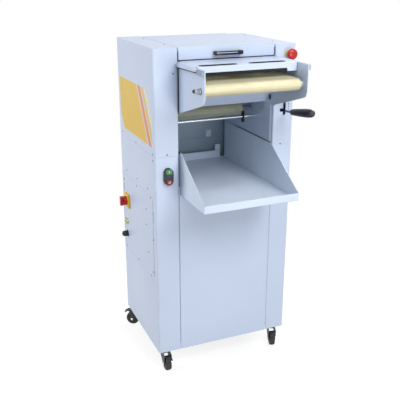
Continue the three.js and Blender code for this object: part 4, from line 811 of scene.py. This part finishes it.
def emergencyStop():
    # The cap's rim and shoulder are listed as insets from its radius, its crown as radii with a small dimple.
    low, high = drawnBox("emergency_stop_mushroom")
    spot = place((low.x + high.x) / 2, 0, (low.z + high.z) / 2)
    radius, front, rim = (high.x - low.x) / 2, low.y, low.y + stop["capDepth"]
    cap = [(stop["stem"] - 0.2, stop["sunk"]), (stop["stem"], rim)]
    cap += [(radius - inset, rim - along) for inset, along in stop["rim"]]
    cap += [(radius - inset, front + along) for inset, along in stop["shoulder"]]
    cap += [(crown, front + along) for crown, along in stop["crown"]]
    form = Form()
    form.turned(cap, spot, backwards, segments=stop["segments"])
    makePiece("emergency_stop_cap", form, "red", "emergency_stop", ("emergency_stop_mushroom",),
              sharpAngle=stop["sharpAngle"])
    low, high = drawnBox("emergency_stop_collar")
    ring, depth, bore = (high.x - low.x) / 2, low.y, stop["collarBore"]
    collar = [(ring - inset, along) for inset, along in stop["collar"]]
    collar += [(ring - 0.3, depth + 1.2), (ring - 1.4, depth), (bore, depth), (bore, stop["collar"][0][1])]
    form = Form()
    form.turned(collar, spot, backwards, segments=stop["segments"], looped=True)
    makePiece("emergency_stop_ring", form, "yellow", "cabinet", ("emergency_stop_collar",))


emergencyStop()

wheel = {"radius": 31, "halfWidth": 12, "hub": 11, "rim": 23.5, "bore": 4.6, "dish": 3.2, "spokes": 6,
         "tyre": ((3.6, 0.8), (1.6, 1.9), (0.4, 4), (0, 7)), "spokeFoot": (0.5, 1.6), "spokeEnd": (2.4, 1.2),
         "spokeFaces": (-1, 1.8), "nut": ((6, 17), (6, 20.4), (5, 21)),
         "thread": ((3.6, 20), (3.6, 22.6), (3, 23.2))}


def casterTyre(corner, spot, axis):
    # Half of the profile is listed as insets from the radius and the side, and the other half mirrors it.
    half, radius = wheel["halfWidth"], wheel["radius"]
    near = [(wheel["rim"], wheel["tyre"][0][1] - half)]
    near += [(radius - inset, along - half) for inset, along in wheel["tyre"]]
    form = Form()
    form.turned(near + [(size, -along) for size, along in near[::-1]], spot, axis, segments=64)
    makePiece(f"{corner}_wheel_tyre", form, "rubber", f"{corner}_wheel",
              (f"{corner}_caster_wheel",))


def casterHub(corner, spot, axis):
    # A dished rim and spokes on each side.
    half, rim, hub, bore = wheel["halfWidth"], wheel["rim"], wheel["hub"], wheel["bore"]
    dish = half - wheel["dish"]
    foot, footHalf = wheel["spokeFoot"]
    end, endHalf = wheel["spokeEnd"]
    spoke = [(hub - foot, -footHalf), (rim - end, -endHalf), (rim - end, endHalf), (hub - foot, footHalf)]
    low, high = [dish + face for face in wheel["spokeFaces"]]
    form = Form()
    for side in (-1, 1):
        profile = [(bore, dish - 2), (bore, half), (hub - 1, half), (hub, half - 1), (hub + 1, dish),
                   (rim - 3, dish), (rim - 1.6, half - 0.6), (rim - 0.2, half - 0.4), (rim - 0.2, dish - 2)]
        form.turned([(size, side * along) for size, along in profile], spot, axis, looped=True)
        for step in range(wheel["spokes"]):
            out = Matrix.Rotation(math.tau * step / wheel["spokes"], 3, axis) @ upwards
            across = axis.cross(out)

            def spokePoint(point, along):
                return spot + (out * point[0] + across * point[1] + axis * side * along) * millimetre
            form.slab(spoke, lambda point: spokePoint(point, low), lambda point: spokePoint(point, high))
    makePiece(f"{corner}_wheel_hub", form, "blackPlastic", f"{corner}_wheel")


def casterWheel(corner):
    joint = joints[f"{corner}_wheel_spin"]
    spot = Vector(joint["pos_m"])
    axis = Vector(joint["axis"]).normalized()
    casterTyre(corner, spot, axis)
    casterHub(corner, spot, axis)
    form = Form()
    for side in (-1, 1):
        for name, segments in (("nut", 6), ("thread", 20)):
            form.turned([(size, side * along) for size, along in wheel[name]], spot, axis, segments)
    makePiece(f"{corner}_axle_nuts", form, "zinc", f"{corner}_caster")


for corner in corners:
    casterWheel(corner)
print("caster wheels made")

earth = {"y": 402, "z": 462, "washer": ((12, 0), (12, 1.8), (11.4, 2.2), (3.6, 2.2)),
         "stud": ((3.4, 2), (3.4, 15.2), (2.8, 15.9)),
         "boss": ((10.4, 2.2), (10, 4), (7.4, 8.8), (6.6, 10.4), (3.6, 10.6)),
         "wing": ((0, -2.6), (5.5, -3), (9.5, -1), (11.6, 3.2), (11.4, 5.2), (9, 5.4), (6, 3.4), (3, 2.6),
                  (0, 2.4)),
         "wingTurn": 62, "wingScale": 1.5, "wingFoot": 6.4, "wingLean": 0.8, "wingHalf": 1.9}


def earthTerminal():
    # A washer, a stud and a nut with two wings that stand out as they spread.
    outward = -sideways
    spot = place(0, earth["y"], earth["z"])
    form = Form()
    for name, segments in (("washer", 40), ("stud", 24), ("boss", 32)):
        form.turned(earth[name], spot, outward, segments)
    turn = Matrix.Rotation(math.radians(earth["wingTurn"]), 3, "X")
    wing = [(u * earth["wingScale"], v * earth["wingScale"]) for u, v in earth["wing"]]
    for side in (-1, 1):
        def wingPoint(point, offset):
            across = turn @ Vector((0, side * point[0], offset))
            return spot + (outward * (earth["wingFoot"] + point[1] * earth["wingLean"]) + across) * millimetre
        form.slab(wing, lambda point: wingPoint(point, -earth["wingHalf"]),
                  lambda point: wingPoint(point, earth["wingHalf"]))
    makePiece("earth_terminal_nut", form, "brass", "cabinet", ("earth_terminal",), edge=0.5)


gland = {"y": 410, "z": 398, "scale": 1.22, "washer": ((12.6, 0), (12.6, 1.6), (12, 2)),
         "nut": ((12, 2), (12, 11), (11.2, 12)),
         "dome": ((10.4, 12), (10.4, 18), (9.6, 22), (8, 24.6), (6.4, 25.8), (4, 25.8), (4, 20)),
         "ribs": 12, "ribRadius": 10.2, "rib": ((0.9, 12.4), (0.9, 19))}


def cableGland():
    # A washer, a hexagon and a ribbed dome nut with its bore.
    outward = -sideways
    spot = place(0, gland["y"], gland["z"])
    form = Form()
    for name, segments in (("washer", 40), ("nut", 6), ("dome", 40)):
        form.turned([(radius * gland["scale"], along) for radius, along in gland[name]], spot, outward, segments)
    for step in range(gland["ribs"]):
        angle = math.tau * step / gland["ribs"]
        rib = Vector((0, math.cos(angle), math.sin(angle))) * gland["ribRadius"] * gland["scale"] * millimetre
        form.turned(gland["rib"], spot + rib, outward, segments=6)
    makePiece("cable_gland_body", form, "glossBlack", "cabinet", ("cable_gland",), edge=0.4)


earthTerminal()
cableGland()

screws = {
    "radius": 3.6, "height": 1.8, "socket": 1.7, "head": ((1, 0.35), (0.82, 0.82), (0.55, 1)),
    "side": ((433, 653), (246, 677), (96, 712), (66, 681), (128, 544), (108, 428), (249, 335), (430, 331),
             (44, 507), (53, 360), (79, 334), (384, 708), (238, 711), (124, 614), (235, 869), (26.6, 870),
             (23.7, 846), (430, 872)),
    "front": ((50, 870), (543.5, 865), (78.5, 1177.5)),
    "scale": ((575.5, 1027), (575.5, 1016.5), (575.5, 1006)), "scaleSize": 0.55,
    "back": (((49, 547), (1200, 900, 820, 60)), ((108, 496), (1180, 700, 120))),
    "roof": ((84, 551), (110, 360)), "roofSize": 0.8,
}


def buttonHead(form, spot, axis, size=1.0):
    # A round head with its socket; the head is listed as shares of its radius and height.
    radius, height, socket = [screws[key] * size for key in ("radius", "height", "socket")]
    head = [(radius * share, height * rise) for share, rise in screws["head"]]
    form.turned([(radius, -0.4)] + head + [(socket, height), (socket * 0.9, height * 0.35)], spot, axis,
                segments=24)


def cabinetScrews():
    # The right base cover gets the same screws as the left one.
    form = Form()
    for y, z in screws["side"]:
        buttonHead(form, place(0, y, z), -sideways)
        if z < cabinet["seam"]:
            buttonHead(form, place(cabinet["width"], y, z), sideways)
    for x, z in screws["front"]:
        buttonHead(form, place(x, 0, z), -backwards)
    for x, z in screws["scale"]:
        buttonHead(form, place(x, 0, z), -backwards, screws["scaleSize"])
    for columns, rows in screws["back"]:
        for x in columns:
            for z in rows:
                buttonHead(form, place(x, cabinet["depth"], z), backwards)
    columns, rows = screws["roof"]
    for x in columns:
        top = cabinet["top"] if x < cabinet["left"] else cabinet["rightTop"]
        for y in rows:
            buttonHead(form, place(x, y, top), upwards, screws["roofSize"])
    makePiece("cabinet_screws", form, "screwSteel", "cabinet")


cabinetScrews()

nose = {"left": (98.4, 102.4), "right": (505.6, 501.6), "bushRadius": 10.4, "bushBore": 7.6, "bushLength": 10.5,
        "grub": 3.6, "washerRadius": 12.2, "washer": 0.4, "boltY": -156, "boltZ": 1136, "boltRadius": 6,
        "boltHeight": 5, "boltWasher": (7.4, 0.9), "nutRadius": 10.4, "nutStart": 7, "nutEnd": 16.5,
        "threadRadius": 5, "threadEnd": 20}


def noseFittings():
    # White collars inside the noses, each with a grub screw; outside a dark washer, a lock nut and a black bolt.
    axisY, axisZ = tuple(drawn(joints["infeed_front_roller_spin"]["pos_m"]))[1:]
    bushes, dark, nuts = Form(), Form(), Form()
    radius, bore, length, grub = [nose[key] for key in ("bushRadius", "bushBore", "bushLength", "grub")]
    bolt, boltHeight, nut, thread = [
        nose[key] for key in ("boltRadius", "boltHeight", "nutRadius", "threadRadius")]
    nutStart, nutEnd, threadEnd = nose["nutStart"], nose["nutEnd"], nose["threadEnd"]
    for outer, inner in (nose["left"], nose["right"]):
        inward = sideways if inner > outer else -sideways
        spot = place(inner, axisY, axisZ)
        bushes.turned([(bore, 0), (radius, 0), (radius, length - 1), (radius - 1, length), (bore, length)],
                      spot, inward, segments=40, looped=True)
        dark.turned([(grub, radius - 1), (grub, radius + 0.7), (grub - 0.8, radius + 0.7), (grub - 1, radius - 0.4)],
                    spot + inward * length / 2 * millimetre, -backwards, segments=16)
        outside = place(outer, axisY, axisZ)
        dark.turned([(bore, 0), (nose["washerRadius"], 0), (nose["washerRadius"], nose["washer"]),
                     (bore, nose["washer"])], outside, -inward, segments=40, looped=True)
        boltSpot = place(outer, nose["boltY"], nose["boltZ"])
        washerRadius, washerTop = nose["boltWasher"]
        dark.turned([(washerRadius, -0.2), (washerRadius, washerTop)], boltSpot, -inward, segments=32)
        dark.turned([(bolt, washerTop - 0.1), (bolt, boltHeight), (bolt - 1, boltHeight + 0.6)],
                    boltSpot, -inward, segments=6)
        nuts.turned([(nut, nutStart), (nut, nutEnd - 1), (nut - 1.4, nutEnd)], outside, -inward, segments=6)
        nuts.turned([(thread, nutStart), (thread, threadEnd - 1), (thread - 1, threadEnd)], outside, -inward,
                    segments=28)
    makePiece("nose_lock_nuts", nuts, "nutSteel", "infeed_front_roller", edge=0.5)
    makePiece("nose_bushes", bushes, "whitePlastic", "cabinet")
    makePiece("nose_bolts", dark, "blackPlastic", "cabinet", edge=0.3)


noseFittings()

gaps = {"filler": ((98.2, 11.8), (102.4, 20), (98.2, 20)), "fillerHeight": (735.4, 1027),
        "noseShade": ((97.2, -8, 1027), (98.3, -0.4, 1204)), "lidShade": ((101, 0.6, 1214), (499, 4, 1224.2)),
        "trayShade": ((102.5, 4, 867), (104.4, 336, 874.6)), "slitSkin": (-0.2, 0.4),
        "slits": ((36.4, 580, 40.6, 634), (37.8, 640, 39.4, 678), (38.8, 344, 41.2, 572), (435.6, 598, 438.8, 634))}


def gapClosers():
    # Painted corner strips beside the columns, and black strips as painted shade in the gaps beside the noses, under
    # the lid and beside the tray, and in the open slits along the left side's service panel.
    fillers, shadeStrips = Form(), Form()
    for mirrored in (False, True):
        fillers.plate([(sided(x, mirrored), y) for x, y in gaps["filler"]], 2, *gaps["fillerHeight"])
        shadeStrips.sidedBlock(*gaps["noseShade"], mirrored)
        shadeStrips.sidedBlock(*gaps["trayShade"], mirrored)
    shadeStrips.block(*gaps["lidShade"])
    under, over = gaps["slitSkin"]
    for near, low, far, high in gaps["slits"]:
        shadeStrips.block((under, near, low), (over, far, high))
    makePiece("column_corner_strips", fillers, "paint", "cabinet")
    makePiece("gap_painted_shade_strips", shadeStrips, "rubberAndShade", "cabinet", edge=0.3)


gapClosers()

chamber = {
    "plate": ((412, 462.2, 799), (438, 464, 832)), "screws": ((481, 804), (425, 806), (425, 825)),
    "screwFace": 462.4, "hem": ((103, 462.6, 796.6), (501, 464, 799.4)),
    "buffer": ((494, 16.6, 1048), (500.8, 19.2, 1067)),
}


def chamberFittings():
    # Small parts on the inner faces: a zinc plate and screws on the back panel, its hem, and rubber buffers.
    form = Form()
    form.block(*chamber["plate"])
    for x, z in chamber["screws"]:
        buttonHead(form, place(x, chamber["screwFace"], z), -backwards)
    makePiece("back_panel_plate", form, "zinc", "cabinet", edge=0.4)
    form = Form()
    form.block(*chamber["hem"])
    makePiece("back_panel_hem", form, "paintInnerShade", "cabinet", edge=0.5)
    form = Form()
    for mirrored in (False, True):
        form.sidedBlock(*chamber["buffer"], mirrored)
    makePiece("belt_panel_buffers", form, "rubberAndShade", "cabinet", edge=0.6)


chamberFittings()

twin = {"x": 52, "z": 785, "front": -15, "face": -17.5, "spacing": 21, "markDepth": 0.4, "markSunk": 0.1,
        "lens": (20, 9), "lensCorner": 2.2, "lensSides": (0.4, -1.2), "bar": (2, 8.8), "barCorner": 0.9,
        "ringRadius": 4.8, "ringWidth": 1.6}


def buttonMarks():
    # A pilot lens between the buttons, a bar on the green one and a ring on the red one.
    x, z, front, face, depth, sunk = [twin[key] for key in ("x", "z", "front", "face", "markDepth", "markSunk")]
    width, height = twin["lens"]
    form = Form()
    outline = roundedOutline((x - width / 2, z - height / 2), (x + width / 2, z + height / 2), twin["lensCorner"])
    form.plate(outline, 1, *[front + side for side in twin["lensSides"]])
    makePiece("button_pilot_lens", form, "blueLens", "cabinet", edge=0.6)
    width, height = twin["bar"]
    middle = z + twin["spacing"]
    form = Form()
    bar = roundedOutline((x - width / 2, middle - height / 2), (x + width / 2, middle + height / 2),
                         twin["barCorner"], steps=4)
    form.plate(bar, 1, face + sunk, face - depth)
    makePiece("start_button_mark", form, "whitePlastic", "start_button")
    form = Form()
    outer, inner = twin["ringRadius"], twin["ringRadius"] - twin["ringWidth"]
    form.turned([(outer, sunk), (outer, -depth), (inner, -depth), (inner, sunk)],
                place(x, face, z - twin["spacing"]), backwards, segments=40, looped=True)
    makePiece("stop_button_mark", form, "whitePlastic", "stop_button")


buttonMarks()
print("small pieces made")

camera = {"spot": (-757.38, -2240.22, 1540.76), "azimuth": -22.845, "elevation": 19.745, "lens": 57.98,
          "sensor": 36, "clipEnd": 50}
lamps = {
    "key_lamp": {"spot": (0.7, -2.7, 3.1), "size": 1.6, "power": 55, "aim": (0, 0, 0.9)},
    "high_lamp": {"spot": (-1.2, -2.2, 3.5), "size": 1.4, "power": 20, "aim": (0, 0, 0.7)},
    "low_lamp": {"spot": (0.5, -3.9, 0.7), "size": 1.2, "power": 42, "aim": (0, 0, 0.6)},
    "rear_lamp": {"spot": (3.0, 1.9, 2.6), "size": 1.6, "power": 90, "aim": (0, 0, 0.8)},
    "side_lamp": {"spot": (-3.3, 1.0, 1.5), "size": 1.6, "power": 54, "aim": (0, 0, 0.7)},
    "tray_lamp": {"spot": (0.5, -0.95, 2.2), "size": 0.3, "power": 0.065, "aim": (0.02, -0.2, 0.8), "spread": 14},
}
studio = {"ambient": 0.37, "white": 1.0, "floorGlow": 0.8, "floorShade": 0.3, "floorReach": 30,
          "nearFloor": 0.7, "farFloor": 1.5}


def addThing(name, data):
    thing = bpy.data.objects.new(name, data)
    bpy.context.scene.collection.objects.link(thing)
    return thing


def makeCamera():
    data = bpy.data.cameras.new("camera")
    data.lens = camera["lens"]
    data.sensor_width = camera["sensor"]
    data.clip_end = camera["clipEnd"]
    thing = addThing("camera", data)
    thing.location = place(*camera["spot"])
    thing.rotation_euler = (math.radians(90 - camera["elevation"]), 0, math.radians(camera["azimuth"]))
    bpy.context.scene.camera = thing


def makeLamps():
    for name, facts in lamps.items():
        data = bpy.data.lights.new(name, "AREA")
        data.size = facts["size"]
        data.energy = facts["power"]
        data.spread = math.radians(facts.get("spread", 180))
        thing = addThing(name, data)
        thing.location = facts["spot"]
        direction = Vector(facts["aim"]) - Vector(facts["spot"])
        thing.rotation_euler = direction.to_track_quat("-Z", "Y").to_euler()


def lightPath(graph, ray):
    return graph.node("ShaderNodeLightPath", output=f"Is {ray} Ray")


def makeWorld():
    # White to the camera, to mirrors and through glass, soft light to everything else.
    world = bpy.data.worlds.new("studio")
    bpy.context.scene.world = world
    graph = Graph(world)
    graph.tree.nodes.clear()
    seen = lightPath(graph, "Camera") + lightPath(graph, "Glossy") + lightPath(graph, "Transmission")
    soft, white = [graph.node("ShaderNodeBackground", {}, {"Color": (1, 1, 1, 1), "Strength": studio[key]})
                   for key in ("ambient", "white")]
    mix = graph.node("ShaderNodeMixShader", {}, {0: seen, 1: soft, 2: white})
    graph.node("ShaderNodeOutputWorld", {}, {"Surface": mix})


def makeFloor():
    # A pale floor that keeps the object's shadow and turns as white as the backdrop away from it.
    material = bpy.data.materials.new("studio_floor")
    graph = Graph(material)
    graph.tree.nodes.clear()
    seen = lightPath(graph, "Camera") + lightPath(graph, "Glossy")
    glow, white = [graph.node("ShaderNodeEmission", {}, {"Color": (1, 1, 1, 1), "Strength": studio[key]})
                   for key in ("floorGlow", "white")]
    shade = studio["floorShade"]
    plain = graph.node("ShaderNodeBsdfDiffuse", {}, {"Color": (shade, shade, shade, 1)})
    both = graph.node("ShaderNodeAddShader", {}, {0: glow, 1: plain})
    distance = graph.node("ShaderNodeVectorMath", {"operation": "LENGTH"}, {0: graph.coordinates()}, "Value")
    far = graph.node("ShaderNodeMapRange", {"interpolation_type": "SMOOTHSTEP"}, {
        "Value": distance, "From Min": studio["nearFloor"], "From Max": studio["farFloor"]})
    shown = graph.node("ShaderNodeMixShader", {}, {0: far, 1: both, 2: white})
    surface = graph.node("ShaderNodeMixShader", {}, {0: seen, 1: plain, 2: shown})
    graph.node("ShaderNodeOutputMaterial", {}, {"Surface": surface})
    mesh = bpy.data.meshes.new("floor")
    reach = studio["floorReach"]
    mesh.from_pydata([(-reach, -reach, 0), (reach, -reach, 0), (reach, reach, 0), (-reach, reach, 0)], [],
                     [(0, 1, 2, 3)])
    mesh.materials.append(material)
    addThing("floor", mesh)


makeCamera()
makeLamps()
makeWorld()
makeFloor()
bpy.context.scene.view_settings.view_transform = "Standard"
print("camera, lamps and floor placed")
